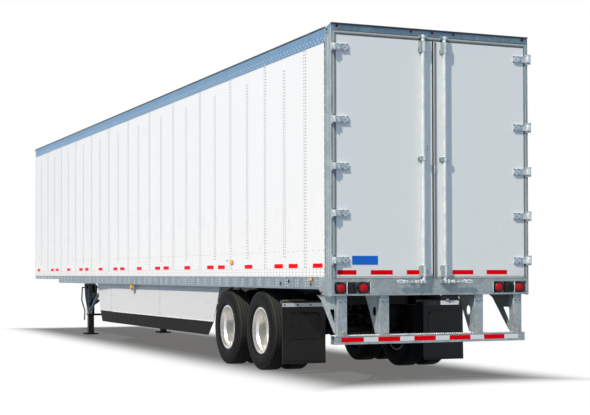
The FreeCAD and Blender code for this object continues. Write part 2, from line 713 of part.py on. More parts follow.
def guard_posts():
    width, depth = GUARD_POST
    x, skin = GUARD_FACE, GUARD_POST_WALL
    half = width / 2
    section = [(x, -half), (x, half), (x + depth, half), (x + depth, half - skin), (x + skin, half - skin),
               (x + skin, -half + skin), (x + depth, -half + skin), (x + depth, -half)]
    posts = []
    for middle in GUARD_POST_Y:
        posts.append(prism("z", [(a, middle + b) for a, b in section], (GUARD_TOP, SILL_BOTTOM)))
    return both_sides(posts)


def guard_gussets():
    """A flanged plate ahead of each guard post, with its holes, and a strut up to a beam."""
    start = GUARD_FACE + GUARD_POST[1] - GUSSET_LAP
    top = SILL_BOTTOM - GUSSET_TOP
    toe = (start + GUSSET_TOE[0], GUARD_TOP + GUSSET_TOE[1])
    knee = (GUSSET_REACH, top - GUSSET_NOSE)
    skin = GUARD_POST_WALL
    run = V(knee[0] - toe[0], knee[1] - toe[1], 0)
    side = V(-run.y, run.x, 0).normalize() * skin
    beam = beam_places()[1]
    foot = [GUSSET_REACH - back for back in BRACE_FOOT]
    head = [beam - back for back in BRACE_HEAD]
    pieces = []
    for number, middle in enumerate(GUARD_POST_Y):
        face = middle + GUARD_POST[0] / 2
        through = (face - 1, face + skin + 1)
        plate = prism("y", [(start, top), (GUSSET_REACH, top), knee, toe, (start, toe[1])], (face, face + skin))
        flange = prism("y", [toe, knee, (knee[0] + side.x, knee[1] + side.y), (toe[0] + side.x, toe[1] + side.y)],
                       (face - GUSSET_FLANGE, face))
        if number:
            holes = [round_bar("y", (start + ahead, toe[1] + rise), GUSSET_HOLE_R, through)
                     for ahead, rise in GUSSET_HOLES]
        else:
            ahead, high, low, radius = GUSSET_SLOT
            holes = [round_bar("y", (start + ahead, top - drop), radius, through) for drop in (high, low)]
            holes.append(box(span(start + ahead, radius), through, (top - low, top - high)))
        plate = plate.cut(holes[0].fuse(holes[1:]))
        brace = prism("y", [(foot[0], top - BRACE_LAP), (foot[1], top - BRACE_LAP), (GUSSET_REACH, top),
                            (head[1], BEAM_BOTTOM), (head[0], BEAM_BOTTOM), (foot[0], top)],
                      (face - BRACE_WIDTH, face))
        pieces.append(plate.fuse([flange, brace]).removeSplitter())
    return both_sides(pieces)


def licence_bracket():
    """A plain plate and its hanger under the sill."""
    outer = LICENCE_IN - GUARD_POST_Y[0]
    wide, tall = LICENCE_SIZE
    top = SILL_BOTTOM - LICENCE_DROP
    back = GUARD_FACE + LICENCE_PLATE
    plate = box((GUARD_FACE, back), (outer, outer + wide), (top - tall, top))
    hanger = box((back, back + PLATE), (outer + HANGER_INSET, outer + wide - HANGER_INSET),
                 (top - HANGER_LAP, SILL_BOTTOM))
    return [plate.fuse(hanger)]


# ------------------------------------------------------------------ coupler
def coupler_plate():
    ends = (LENGTH - COUPLER_BACK, LENGTH - RAIL_SKIN - 1)
    reach = HALF - RAIL_WEB
    plate_top = COUPLER_Z + COUPLER_PLATE
    plate = box((ends[0], LENGTH - CORNER_R), (-reach, reach), (COUPLER_Z, plate_top))
    nose = box((LENGTH - CORNER_R, ends[1]), (-HALF + CORNER_R, HALF - CORNER_R), (COUPLER_Z, plate_top))
    pin_x = LENGTH - KINGPIN_BACK
    hole = round_bar("z", (pin_x, 0), KINGPIN_COLLAR_R + PIN_GAP, (COUPLER_Z - 1, plate_top + 1))
    pieces = [plate.fuse(nose).cut(hole).removeSplitter()]
    for place in between(ends[0] + BEAM_FLANGE / 2, LENGTH - CORNER_R, COUPLER_RIB_PITCH):
        if abs(place - pin_x) > KINGPIN_BASE[0] + BEAM_FLANGE / 2:
            pieces.append(box(span(place, BEAM_FLANGE / 2), (-reach, reach), (plate_top, BEAM_TOP)))
    return pieces


def kingpin():
    top = COUPLER_Z + COUPLER_PLATE
    low = COUPLER_Z - KINGPIN_DROP
    base_r, base = KINGPIN_BASE
    return [turned("z", (LENGTH - KINGPIN_BACK, 0), [
        (0, low), (KINGPIN_FLANGE_R, low), (KINGPIN_FLANGE_R, low + KINGPIN_FLANGE),
        (KINGPIN_NECK_R, low + KINGPIN_FLANGE), (KINGPIN_NECK_R, COUPLER_Z - KINGPIN_COLLAR),
        (KINGPIN_COLLAR_R, COUPLER_Z - KINGPIN_COLLAR), (KINGPIN_COLLAR_R, top),
        (base_r, top), (base_r, top + base), (0, top + base)])]


# ------------------------------------------------------------------ landing gear
LEG_X = LENGTH - LEG_BACK


def landing_legs():
    half, bore = LEG_SIZE / 2, LEG_SIZE / 2 - LEG_WALL
    top = BEAM_BOTTOM - LEG_TOP_PLATE
    leg = box(span(LEG_X, half), span(LEG_Y, half), (LEG_BOTTOM, top))
    leg = leg.cut(box(span(LEG_X, bore), span(LEG_Y, bore), (LEG_BOTTOM - 1, top - LEG_WALL)))
    wide, tall = half + LEG_COLLAR[0], LEG_BOTTOM + LEG_COLLAR[1]
    collar = box(span(LEG_X, wide), span(LEG_Y, wide), (LEG_BOTTOM, tall))
    collar = collar.cut(box(span(LEG_X, half), span(LEG_Y, half), (LEG_BOTTOM - 1, tall + 1)))
    reach = abs(nearest_beam() - LEG_X) + BEAM_FLANGE
    cap = box(span(LEG_X, reach), span(LEG_Y, half + LEG_CAP_REACH), (top, BEAM_BOTTOM))
    return both_sides([leg.fuse([collar, cap]).removeSplitter()])


def landing_feet():
    half = LEG_SIZE / 2 - LEG_WALL - LEG_FIT
    long, wide, thick = FOOT
    top = LEG_BOTTOM + FOOT_LAP
    inner = box(span(LEG_X, half), span(LEG_Y, half), (thick, top))
    bore = half - LEG_WALL
    inner = inner.cut(box(span(LEG_X, bore), span(LEG_Y, bore), (thick + FOOT_SOCKET, top + 1)))
    turn, inset, edge = FOOT_TURN
    end = long / 2
    front = [(end - turn, 0), (end, turn), (end - edge, turn + thick / 2), (end - inset, thick)]
    back = [(-x, z) for x, z in reversed(front)]
    shoe = prism("y", front + back, span(LEG_Y, wide / 2))
    shoe.translate(V(LEG_X, 0, 0))
    return both_sides([inner.fuse(shoe).removeSplitter()])


def leg_brackets():
    """The pressed bracket on each leg's outer side, with its window, and the brace back to a beam."""
    face = LEG_Y + LEG_SIZE / 2
    top = BEAM_BOTTOM - LEG_TOP_PLATE
    low = LEG_BOTTOM + BRACKET_LOW
    foot, shoulder, head = BRACKET_HALF
    right = [(foot, low), (shoulder, top - BRACKET_SHOULDER), (head, top)]
    left = [(-x, z) for x, z in reversed(right)]
    plate = prism("y", [(LEG_X + x, z) for x, z in right + left], (face, face + BRACKET_THICK))
    rise, side, crown = WINDOW_ENDS
    narrow, wide = WINDOW_HALF
    window = prism("y", [(LEG_X - narrow, low + rise), (LEG_X + narrow, low + rise), (LEG_X + wide, top - side),
                         (LEG_X, top - crown, LEG_X - wide, top - side)], (face - 1, face + BRACKET_THICK + 1))
    rear = (LEG_X - LEG_SIZE / 2, LEG_BOTTOM + BRACE_RISE)
    beam = max(place for place in beam_places() if place < LEG_X - BRACE_BACK)
    half, reach = BRACE_HALF
    brace = prism("y", [rear, (rear[0], rear[1] + BRACE_DEPTH), (beam + reach, BEAM_BOTTOM),
                        (beam - reach, BEAM_BOTTOM)], span(LEG_Y, half))
    return both_sides([plate.cut(window), brace])


def cross_braces():
    """A bar between the legs' collars and two ties up to the middle of a beam."""
    inner = LEG_Y - LEG_SIZE / 2
    collar = inner - LEG_COLLAR[0]
    half, drop = CROSS_BAR
    bar = box(span(LEG_X, half), (-collar, collar), (LEG_BOTTOM - drop, LEG_BOTTOM + LEG_COLLAR[1]))
    low = LEG_BOTTOM + TIE_RISE
    head = [(TIE_HEAD[1], BEAM_BOTTOM), (TIE_HEAD[0], BEAM_BOTTOM)]
    tie = prism("x", [(inner, low), (inner, low + TIE_DEPTH)] + head, span(nearest_beam(), TIE_HALF))
    return [bar] + both_sides([tie])


def nearest_beam():
    return min(beam_places(), key=lambda place: abs(place - LEG_X))


def landing_gearing():
    """Gearboxes, the shaft between the legs and the crank, folded down beside the left leg."""
    deep, wide, tall = GEAR_BOX
    inner = LEG_Y - LEG_SIZE / 2
    outer = LEG_Y + LEG_SIZE / 2 + BRACKET_THICK
    shaft_z = BEAM_BOTTOM - GEAR_SHAFT_DROP
    cases = both_sides([box(span(LEG_X, deep / 2), (inner - wide, inner), span(shaft_z - GEAR_DROP, tall / 2))])
    shaft = round_bar("y", (LEG_X, shaft_z), GEAR_SHAFT_R, (-inner + wide, inner - wide))
    long, high = CRANK_HUB
    crank = box(span(LEG_X, deep / 2), (outer, outer + long), span(shaft_z, high / 2))
    path = [(outer + long, shaft_z)] + [(outer + out, shaft_z + up) for out, up in CRANK_PATH]
    for start, end in zip(path[:-1], path[1:]):
        ends = [(LEG_X, place, height) for place, height in (start, end)]
        crank = crank.fuse([strut(*ends, CRANK_R), Part.makeSphere(CRANK_R, V(*ends[1]))])
    return cases + [shaft, crank]


# ------------------------------------------------------------------ skirts
def skirt_edges():
    """Rear end, the two seams and front end, each as (top, hem, strip bottom) places."""
    tyre_front = AXLE_X["front"] + TYRE_R
    rear = [tyre_front + SKIRT_REAR[level] for level in ("top", "hem", "strip")]
    front = [LENGTH - SKIRT_FRONT[level] for level in ("top", "hem", "strip")]
    seams = [[rear[0] + SKIRT_REAR_SECTION] * 3, [front[0] - SKIRT_FRONT_SECTION] * 3]
    return [rear] + seams + [front]


def skirt_bands(upper, lower, levels, faces):
    """One sheet in each section, between two levels; the front one toes in."""
    edges = skirt_edges()
    sheets = []
    for number, (rear, front) in enumerate(zip(edges[:-1], edges[1:])):
        half = SEAM_GAP / 2
        corners = [(rear[lower] + half, levels[0]), (front[lower] - half, levels[0]),
                   (front[upper] - half, levels[1]), (rear[upper] + half, levels[1])]
        sheet = prism("y", corners, faces)
        if number == len(edges) - 2:
            angle = math.degrees(math.atan2(SKIRT_TOE_IN, SKIRT_FRONT_SECTION))
            sheet.rotate(V(rear[upper], faces[0], 0), V(0, 0, 1), -angle)
        sheets.append(sheet)
    return sheets


def skirt_panels():
    faces = (SKIRT_Y - SKIRT_THICK, SKIRT_Y)
    return both_sides(skirt_bands(0, 1, (SKIRT_HEM, BEAM_BOTTOM), faces))


def skirt_strips():
    faces = (SKIRT_Y - STRIP_THICK, SKIRT_Y)
    return both_sides(skirt_bands(1, 2, (STRIP_BOTTOM, SKIRT_HEM), faces))


def skirt_braces():
    """Slanted struts from the skirt up to the crossmembers."""
    edges = skirt_edges()
    low, high = edges[0][1] + BEAM_FLANGE, edges[2][0] - BEAM_FLANGE
    face = SKIRT_Y - SKIRT_THICK
    foot = [(face, SKIRT_HEM + rise) for rise in SKIRT_BRACE_FOOT]
    head = [(face - reach, BEAM_BOTTOM) for reach in SKIRT_BRACE_HEAD]
    places = [place for place in beam_places() if low < place < high][::SKIRT_BRACE_EVERY]
    return both_sides([prism("x", foot + head, span(place, SKIRT_BRACE_HALF)) for place in places])


# ------------------------------------------------------------------ service box
def service_box():
    wide, tall = BOX_SIZE
    plate = box((LENGTH - RAIL_SKIN, LENGTH + BOX_PLATE), span(0, wide / 2), span(BOX_Z, tall / 2))
    start, end = LENGTH + BOX_PLATE, LENGTH + NOSE_REACH
    mouth = end - SOCKET_INSET
    socket = round_bar("x", (0, BOX_Z), SOCKET_R, (start, mouth))
    socket = socket.cut(round_bar("x", (0, BOX_Z), SOCKET_BORE_R, (mouth - SOCKET_DEPTH, end)))
    pieces = [plate.fuse(socket).removeSplitter()]
    for side in (-1, 1):
        neck = round_bar("x", (side * GLADHAND_Y, BOX_Z), GLADHAND_NECK_R, (start, end - GLADHAND_R))
        head = round_bar("y", (end - GLADHAND_R, BOX_Z), GLADHAND_R, span(side * GLADHAND_Y, GLADHAND_WIDTH / 2))
        pieces.append(neck.fuse(head).removeSplitter())
    return pieces


# ------------------------------------------------------------------ bogie
def bogie_ends():
    return AXLE_X["rear"] - BOGIE_REAR, AXLE_X["front"] + BOGIE_FRONT


def bogie_frame():
    """Two channel rails with their clips round the body rails, crossed by tubes, and hangers."""
    ends = bogie_ends()
    mid, half, skin = SUSPENSION_Y, BOGIE_RAIL_WIDTH / 2, BOGIE_RAIL_WALL
    rail = box(ends, span(mid, half), (BOGIE_BOTTOM, BOGIE_TOP))
    hollow = box(ends, span(mid, half - skin), (BOGIE_BOTTOM + skin, BOGIE_TOP - skin))
    rail = rail.cut(hollow)
    flange = SLIDER_FLANGE / 2 + RUNNING_GAP
    hook_z = BOGIE_TOP + SLIDER_PLATE + 2 * RUNNING_GAP
    hook = [(flange, BOGIE_TOP), (half, BOGIE_TOP), (half, hook_z + 12), (flange - 20, hook_z + 12),
            (flange - 20, hook_z), (flange, hook_z)]
    parts = []
    for place in (ends[0] + CLIP_LENGTH, sum(ends) / 2, ends[1] - CLIP_LENGTH):
        for side in (-1, 1):
            parts.append(prism("x", [(mid + side * y, z) for y, z in hook], span(place, CLIP_LENGTH / 2)))
    for axle in AXLE_X.values():
        parts.append(hanger(axle + PIVOT_AHEAD))
    left = rail.fuse(parts)
    inner = mid - half
    across = [box(span(place, 45), (-inner, inner), (BOGIE_BOTTOM + 15, BOGIE_TOP - 15))
              for place in (ends[0] + 60, AXLE_X["rear"] + PIVOT_AHEAD, AXLE_X["front"] + PIVOT_AHEAD)]
    ties = [round_bar("y", (axle + PIVOT_AHEAD, PIVOT_Z + EYE_R + 40), 30.0, (-inner, inner))
            for axle in AXLE_X.values()]
    return [left.fuse([mirrored(left)] + across + ties).removeSplitter()]


def hanger(place):
    """Two cheeks under the rail and a plate ahead of them, with the pivot bolt."""
    mid, half = SUSPENSION_Y, BOGIE_RAIL_WIDTH / 2
    low = PIVOT_Z - HANGER_DROP
    cheek = [(place - 65, low), (place + 75, low), (place + 90, BOGIE_BOTTOM), (place - 90, BOGIE_BOTTOM)]
    cheeks = [prism("y", cheek, ends) for ends in
              ((mid - half, mid - half + HANGER_PLATE), (mid + half - HANGER_PLATE, mid + half))]
    front = prism("y", [(place + 75, low), (place + 75 - HANGER_PLATE, low),
                        (place + 90 - HANGER_PLATE, BOGIE_BOTTOM), (place + 90, BOGIE_BOTTOM)], span(mid, half))
    bolt = round_bar("y", (place, PIVOT_Z), PIVOT_R, span(mid, half + 12))
    return cheeks[0].fuse([cheeks[1], front, bolt])


def trailing_arms():
    """Beams from the hanger bolt back over the axle to the air spring seat."""
    arms = []
    for axle in AXLE_X.values():
        pivot = (axle + PIVOT_AHEAD, PIVOT_Z)
        seat = TYRE_R + SPRING_SEAT
        beam = prism("y", [(pivot[0], pivot[1] + EYE_R * 0.8), (axle + 90, TYRE_R + 95), (axle - 130, TYRE_R + 75),
                           (axle - SPRING_BEHIND + 90, seat), (axle - SPRING_BEHIND - 90, seat),
                           (axle - SPRING_BEHIND - 90, seat - 20), (axle - 110, TYRE_R - 70),
                           (axle + 90, TYRE_R - 90), (pivot[0], pivot[1] - EYE_R * 0.8)],
                     span(SUSPENSION_Y, ARM_WIDTH / 2))
        eye = round_bar("y", pivot, EYE_R, span(SUSPENSION_Y, ARM_WIDTH / 2))
        bore = round_bar("y", pivot, PIVOT_R + RUNNING_GAP, span(SUSPENSION_Y, ARM_WIDTH))
        seatway = round_bar("y", (axle, TYRE_R), AXLE_R, span(SUSPENSION_Y, ARM_WIDTH))
        arms.append(beam.fuse(eye).cut(bore.fuse(seatway)).removeSplitter())
    return both_sides(arms)


def hub_faces():
    """Places along y of the disc joint, the spindle's step, the cap, the drum's mouth and the brake shield."""
    mouth = DUAL_Y - DISC_PLATE - DRUM_BACK - DRUM_WIDTH
    return {"joint": DUAL_Y, "step": DUAL_Y - SPINDLE_STEP, "cap": DUAL_Y + CAP_REACH, "mouth": mouth,
            "shield": mouth - SHIELD_GAP}


def axles():
    """Round beams stepped down to their spindles, with the brake shields."""
    face = hub_faces()
    shield, step, end = face["shield"], face["step"], face["joint"] + SPINDLE_REACH
    neck = shield - AXLE_NECK
    half = [(AXLE_R, neck), (SPINDLE_R, neck), (SPINDLE_R, step), (SPINDLE_END_R, step),
            (SPINDLE_END_R, end), (0, end)]
    profile = [(radius, -along) for radius, along in reversed(half)] + half
    bars = []
    for axle in AXLE_X.values():
        bar = turned("y", (axle, TYRE_R), profile)
        shields = [round_bar("y", (axle, TYRE_R), DRUM_R - SHIELD_INSET, ends)
                   for ends in ((shield, shield + SHIELD_THICK), (-shield - SHIELD_THICK, -shield))]
        bars.append(bar.fuse(shields).removeSplitter())
    return bars


def air_springs():
    springs = []
    for axle in AXLE_X.values():
        seat = TYRE_R + SPRING_SEAT
        top = BOGIE_BOTTOM
        at = (axle - SPRING_BEHIND, SUSPENSION_Y)
        springs.append(turned("z", at, [
            (0, seat), (78, seat), (84, seat + 90), (100, seat + 78, SPRING_R, seat + 105),
            (SPRING_R, top - 40), (SPRING_R - 8, top - 15, 105, top - 15), (105, top), (0, top)]))
    return both_sides(springs)


def shock_absorbers():
    shocks = []
    y = SUSPENSION_Y - BOGIE_RAIL_WIDTH / 2 - 34.0
    for axle in AXLE_X.values():
        low, high = (axle + 130, TYRE_R + 70), (axle + 330, BOGIE_BOTTOM + 60)
        mid = [(a + b) / 2 for a, b in zip(low, high)]
        shock = strut((low[0], y, low[1]), (mid[0], y, mid[1]), 34.0)
        shock = shock.fuse(strut((mid[0], y, mid[1]), (high[0], y, high[1]), 28.0))
        studs = [round_bar("y", low, 14.0, (y, SUSPENSION_Y - ARM_WIDTH / 2)),
                 round_bar("y", high, 14.0, (y, SUSPENSION_Y - BOGIE_RAIL_WIDTH / 2))]
        shocks.append(shock.fuse(studs).removeSplitter())
    return both_sides(shocks)


def brake_chambers():
    """Spring brakes behind each axle, on a bracket, with camshaft tube and slack adjuster."""
    pieces = []
    y = SUSPENSION_Y - BRAKE_IN
    shield = hub_faces()["shield"]
    for axle in AXLE_X.values():
        cam = (axle - 105.0, TYRE_R + 125.0)
        can_z = cam[1] - 120.0
        can = turned("x", (y, can_z), [(0, axle - 390), (70, axle - 390), (76, axle - 375), (76, axle - 300),
                                       (82, axle - 295), (82, axle - 285), (70, axle - 275), (70, axle - 230),
                                       (82, axle - 220), (82, axle - 205), (40, axle - 190), (0, axle - 190)])
        pushrod = round_bar("x", (y, can_z), 10.0, (axle - 200, cam[0]))
        bracket = prism("y", [(axle - 210, can_z - 60), (axle - 210, cam[1] + 40), (axle - 70, cam[1] + 40),
                              (axle + 20, TYRE_R + AXLE_R), (axle, TYRE_R - AXLE_R - 12),
                              (axle - 180, can_z - 60)], (y + 28, y + 40))
        bracket = bracket.cut(round_bar("y", (axle, TYRE_R), AXLE_R, (y, y + 60)))
        shaft = round_bar("y", cam, 22.0, (y - 20, shield))
        slack = prism("y", [(cam[0] - 28, cam[1] + 30), (cam[0] + 28, cam[1] + 30), (cam[0] + 16, can_z - 20),
                            (cam[0] - 16, can_z - 20)], (y - 16, y + 16))
        pieces.append(can.fuse([pushrod, bracket, shaft, slack]).removeSplitter())
    return both_sides(pieces)


def air_tank():
    x, z = AXLE_X["rear"] + TANK_AHEAD, BOGIE_BOTTOM - 40.0
    half = SUSPENSION_Y - BOGIE_RAIL_WIDTH / 2
    body = min(TANK_LENGTH / 2, half - 30.0)
    tank = turned("y", (x, z), [(0, -body), (TANK_R * 0.7, -body + 18), (TANK_R, -body + 70), (TANK_R, body - 70),
                                (TANK_R * 0.7, body - 18), (0, body)])
    straps = [box(span(x, 20), span(side * body * 0.6, 20), (z, BOGIE_BOTTOM + 90)) for side in (-1, 1)]
    beam = box(span(x, 30), (-half, half), (BOGIE_BOTTOM + 90, BOGIE_BOTTOM + 100))
    return [tank.fuse(straps + [beam]).removeSplitter()]


def flap_x():
    return AXLE_X["rear"] - FLAP_BEHIND


def mud_flaps():
    outer = HALF - FLAP_TUCK
    across = (outer - FLAP_WIDTH, outer)
    return both_sides([box(span(flap_x(), FLAP_THICK / 2), across, (FLAP_BOTTOM, FLAP_TOP))])


def flap_brackets():
    """A tube from the bogie rail with a bar ahead of each flap, and a clamp strip behind it."""
    x = flap_x()
    outer = HALF - FLAP_TUCK
    flap = (outer - FLAP_WIDTH, outer)
    half = FLAP_THICK / 2
    tube_z = FLAP_TOP + 12.0
    tube = round_bar("y", (x + 40, tube_z), FLAP_TUBE_R, (SUSPENSION_Y + BOGIE_RAIL_WIDTH / 2, outer))
    bar = box((x + half, x + half + 8), flap, (FLAP_TOP - FLAP_STRIP, tube_z))
    web = box((x + half, x + 40), flap, (tube_z - 6, tube_z))
    strip = box((x - half - 4, x - half), flap, (FLAP_TOP - FLAP_STRIP, FLAP_TOP))
    return both_sides([tube.fuse([bar, web]).removeSplitter(), strip])


# ------------------------------------------------------------------ wheels
def tyre(axle, middle):
    """One tyre: a carcass with an open bead side, its bead face to face with the rim."""
    half, wall_y = TYRE_WIDTH / 2, TYRE_WALL
    seat = RIM_WIDTH / 2 - RIM_WALL
    crown, shoulder = TYRE_R - CROWN_DROP, half - CROWN_INSET
    belly = (BEAD_R + TYRE_R) / 2
    clear = BEAD_R + RIM_LIP + 2.0
    tread = shoulder - TREAD_ROUND
    outer = [(BEAD_R, -seat), (clear, -seat), (belly, -half, crown, -shoulder), (TYRE_R, -tread),
             (TYRE_R, tread), (crown, shoulder), (belly, half, clear, seat), (BEAD_R, seat)]
    inside = crown - wall_y, shoulder - wall_y
    inner = [(BEAD_R, seat - wall_y), (belly, half - wall_y, *inside), (inside[0], -inside[1]),
             (belly, wall_y - half, BEAD_R, wall_y - seat)]
    profile = [tuple(value + middle if place % 2 else value for place, value in enumerate(point))
               for point in outer + inner]
    return turned("y", (axle, TYRE_R), profile)


def rim(axle, middle, side):
    """One wheel: a barrel with lips, its disc dished towards side, with hand holes."""
    half, skin, seat = RIM_WIDTH / 2, RIM_WALL, BEAD_R
    lip, edge = seat + RIM_LIP, half - skin
    joint = DUAL_Y - middle
    disc = joint - side * DISC_PLATE
    bore, flat = HUB_BORE_R + PIN_GAP, HUB_BORE_R + DISC_FLAT
    near, far = DISC_DISH
    profile = [(bore, joint), (bore, disc), (flat, disc),
               (seat - 3 * skin, side * (edge - 2 * skin)), (seat - 3 * skin, -side * near),
               (seat - skin, -side * far),
               (seat - skin, -side * half), (lip, -side * half), (lip, -side * edge),
               (seat, -side * edge), (seat, -side * (far + 2)), (seat - 2 * skin, -side * (near + 2)),
               (seat - 2 * skin, side * (far - 5)), (seat, side * (far + 10)), (seat, side * edge),
               (lip, side * edge), (lip, side * half), (seat - 2 * skin, side * half), (flat + 4, joint)]
    wheel = turned("y", (axle, TYRE_R), [(radius, middle + along) for radius, along in profile])
    ends = sorted((DUAL_Y, middle))
    holes = []
    for number in range(HAND_HOLES):
        angle = 2 * math.pi * number / HAND_HOLES
        at = (axle + HAND_HOLE_PCD_R * math.cos(angle), TYRE_R + HAND_HOLE_PCD_R * math.sin(angle))
        holes.append(round_bar("y", at, HAND_HOLE_R, ends))
    return wheel.cut(holes[0].fuse(holes[1:])).removeSplitter()


def hub(axle):
    """The hub with its brake drum and end cap, bored to run on the spindle."""
    face = hub_faces()
    joint, cap, mouth = face["joint"], face["cap"], face["mouth"]
    back, seat = joint - DISC_PLATE, joint + DISC_PLATE
    step = face["step"] + RUNNING_GAP
    bore, end_bore = SPINDLE_R + RUNNING_GAP, SPINDLE_END_R + RUNNING_GAP
    inner = DRUM_R - DRUM_WALL
    head = joint + SPINDLE_REACH + CAP_ROOM
    barrel = [(bore, mouth + 40), (78, mouth + 40), (78, back - 60), (95, back - 18)]
    drum = [(HUB_BORE_R + 45, back - 18), (inner, back - 90), (inner, mouth), (DRUM_R, mouth),
            (DRUM_R, back - 75), (HUB_BORE_R + 60, back), (HUB_BORE_R, back), (HUB_BORE_R, seat)]
    nose = [(92, seat + 12), (80, head - 20), (72, cap - 12), (60, cap), (0, cap), (0, head)]
    inside = [(end_bore, head), (end_bore, step), (bore, step)]
    return turned("y", (axle, TYRE_R), barrel + drum + nose + inside)


def wheel_set(axle):
    """The pieces of one left twin wheel, by node name."""
    outer, inner = DUAL_Y + DUAL_SPACING / 2, DUAL_Y - DUAL_SPACING / 2
    return {
        "tyres": [tyre(axle, outer), tyre(axle, inner)],
        "rims": [rim(axle, outer, -1), rim(axle, inner, 1)],
        "hub": [hub(axle)],
    }


# ------------------------------------------------------------------ writing
os.makedirs("parts", exist_ok=True)

NODES = (floor_boards, crossmembers, slider_rails, bottom_rails, top_rails, front_wall, roof_sheet, roof_bows,
         rear_posts, rear_header, rear_sill, tail_lamps, guard_bar, licence_bracket, coupler_plate, kingpin,
         landing_legs, landing_feet, leg_brackets, cross_braces, landing_gearing, skirt_panels, skirt_strips,
         skirt_braces, service_box, bogie_frame, trailing_arms, axles, air_springs, shock_absorbers,
         brake_chambers, air_tank, mud_flaps, flap_brackets)
for make in NODES:
    save(make.__name__, make())

save("front_frame", front_posts() + front_rails())
save("door_fittings", hinge_brackets() + rod_keepers())
save("guard_posts", guard_posts() + guard_gussets())

for make, name in ((wall, "wall"), (door, "door"), (hinge_straps, "hinge_straps"), (lock_rod, "lock_rod")):
    left = make()
    save("left_" + name, left)
    save("right_" + name, [mirrored(piece) for piece in left])

for end, axle_x in AXLE_X.items():
    for node, left in wheel_set(axle_x).items():
        save(end + "_left_" + node, left)
        save(end + "_right_" + node, [mirrored(piece) for piece in left])
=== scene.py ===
# %% [markdown]
# # A box semi trailer
#
# This file dresses a long box trailer: white side panels riveted to aluminium rails, a
# galvanised rear frame with two swing doors, and a tandem on twin wheels. Its working pieces
# were built to size already and come in as fixed meshes. Here they get their finishes, and
# the small things are added that make them believable: rivets, tape, lamps, tread and bolts.
#
# Everything is in metres. +X runs forward to the nose, +Y to the road side (left) and +Z up,
# and the road is at Z = 0. Nothing that comes in is moved: places are read from its boxes.

# %% Load the frame and keep its size
import math

import bmesh
import bpy
from mathutils import Matrix, Vector
from mathutils.geometry import tessellate_polygon


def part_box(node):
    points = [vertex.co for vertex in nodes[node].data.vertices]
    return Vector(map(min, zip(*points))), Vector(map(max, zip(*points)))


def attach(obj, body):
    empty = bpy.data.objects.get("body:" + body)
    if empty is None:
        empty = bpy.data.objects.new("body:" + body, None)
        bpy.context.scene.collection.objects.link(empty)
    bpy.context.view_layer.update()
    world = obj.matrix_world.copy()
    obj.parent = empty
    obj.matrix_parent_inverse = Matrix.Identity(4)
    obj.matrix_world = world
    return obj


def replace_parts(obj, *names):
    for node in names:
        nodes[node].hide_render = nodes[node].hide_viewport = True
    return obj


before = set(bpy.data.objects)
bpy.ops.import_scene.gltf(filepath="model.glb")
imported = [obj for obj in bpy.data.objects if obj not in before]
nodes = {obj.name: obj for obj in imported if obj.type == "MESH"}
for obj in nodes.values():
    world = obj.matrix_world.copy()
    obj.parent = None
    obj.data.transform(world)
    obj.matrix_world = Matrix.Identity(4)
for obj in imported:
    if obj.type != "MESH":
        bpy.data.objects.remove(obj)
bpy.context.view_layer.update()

# %% [markdown]
# ## Places that many pieces share
#
# A trailer is laid out from a few faces: the rear face, the nose, the body sides, the sill
# and the header. Reading them once from the frame keeps every later piece in line with them.

# %% Faces of the body
NOSE_RAIL_SKIN = 0.0035  # the nose rails stand this far ahead of the nose wall
DOOR_UNDER = 0.006  # gap from the sill up to the doors
DOOR_OVER = 0.008  # gap from the doors up to the header
POST_TALL = 0.452  # the guard's posts, from the bar to the sill


def low(node):
    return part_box(node)[0]


def high(node):
    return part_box(node)[1]


def about(middle, half):
    """The two ends of a span, from its middle and half its length."""
    return (middle - half, middle + half)


REAR = low("rear_header").x
NOSE = high("front_wall").x + NOSE_RAIL_SKIN
HALF = high("rear_header").y
SKIN = high("left_wall").y  # outer face of the side panels
SILL_TOP = low("left_door").z - DOOR_UNDER
SILL_BOTTOM = low("guard_posts").z + POST_TALL
HEADER_BOTTOM = high("left_door").z + DOOR_OVER
ROOF = high("roof_sheet").z
RAIL_TOP = high("bottom_rails").z
RAIL_BOTTOM = low("bottom_rails").z
TOP_RAIL_LOW = low("top_rails").z
AXLES = {end: sum(c.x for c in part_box(end + "_left_rims")) / 2 for end in ("rear", "front")}
HUB_Z = sum(c.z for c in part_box("rear_left_rims")) / 2
WHEELS = [(end, side) for end in ("rear", "front") for side in ("left", "right")]
SIDES = {"left": 1, "right": -1}
print(f"body from {REAR:.3f} to {NOSE:.3f}, half width {HALF:.4f}, roof {ROOF:.3f}")

# %% [markdown]
# ## The camera
#
# A trailer shows best from low down behind one corner, with its rear doors and the whole
# side in view. A long lens from 14 m behind keeps its uprights parallel. The small
# vertical shift frames the roof without tilting the camera, which would make them converge.

# %% Make the camera
CAMERA_PLACE = (REAR - 13.42, 7.386, 1.238)
CAMERA_HEADING = math.radians(-22.83)  # from +X towards the kerb side
CAMERA_RISE = math.radians(1.0)
CAMERA_ROLL = math.radians(-0.14)
CAMERA_LENS = 80.2
CAMERA_SHIFT = 0.0728
CAMERA_REACH = 500.0
AHEAD_IS_X = Matrix(((0, 0, -1, 0), (-1, 0, 0, 0), (0, 1, 0, 0), (0, 0, 0, 1)))


def linked(name, data):
    """An object that carries data, in the scene."""
    made = bpy.data.objects.new(name, data)
    bpy.context.scene.collection.objects.link(made)
    return made


camera = linked("camera", bpy.data.cameras.new("camera"))
camera.data.sensor_width = 36.0
camera.data.lens = CAMERA_LENS
camera.data.shift_y = CAMERA_SHIFT
camera.data.clip_end = CAMERA_REACH
camera.location = CAMERA_PLACE
level = Matrix.Rotation(CAMERA_HEADING, 4, "Z") @ Matrix.Rotation(-CAMERA_RISE, 4, "Y")
camera.rotation_mode = "QUATERNION"
camera.rotation_quaternion = (level @ AHEAD_IS_X @ Matrix.Rotation(CAMERA_ROLL, 4, "Z")).to_quaternion()
bpy.context.scene.camera = camera
print("camera", [round(value, 2) for value in camera.location])

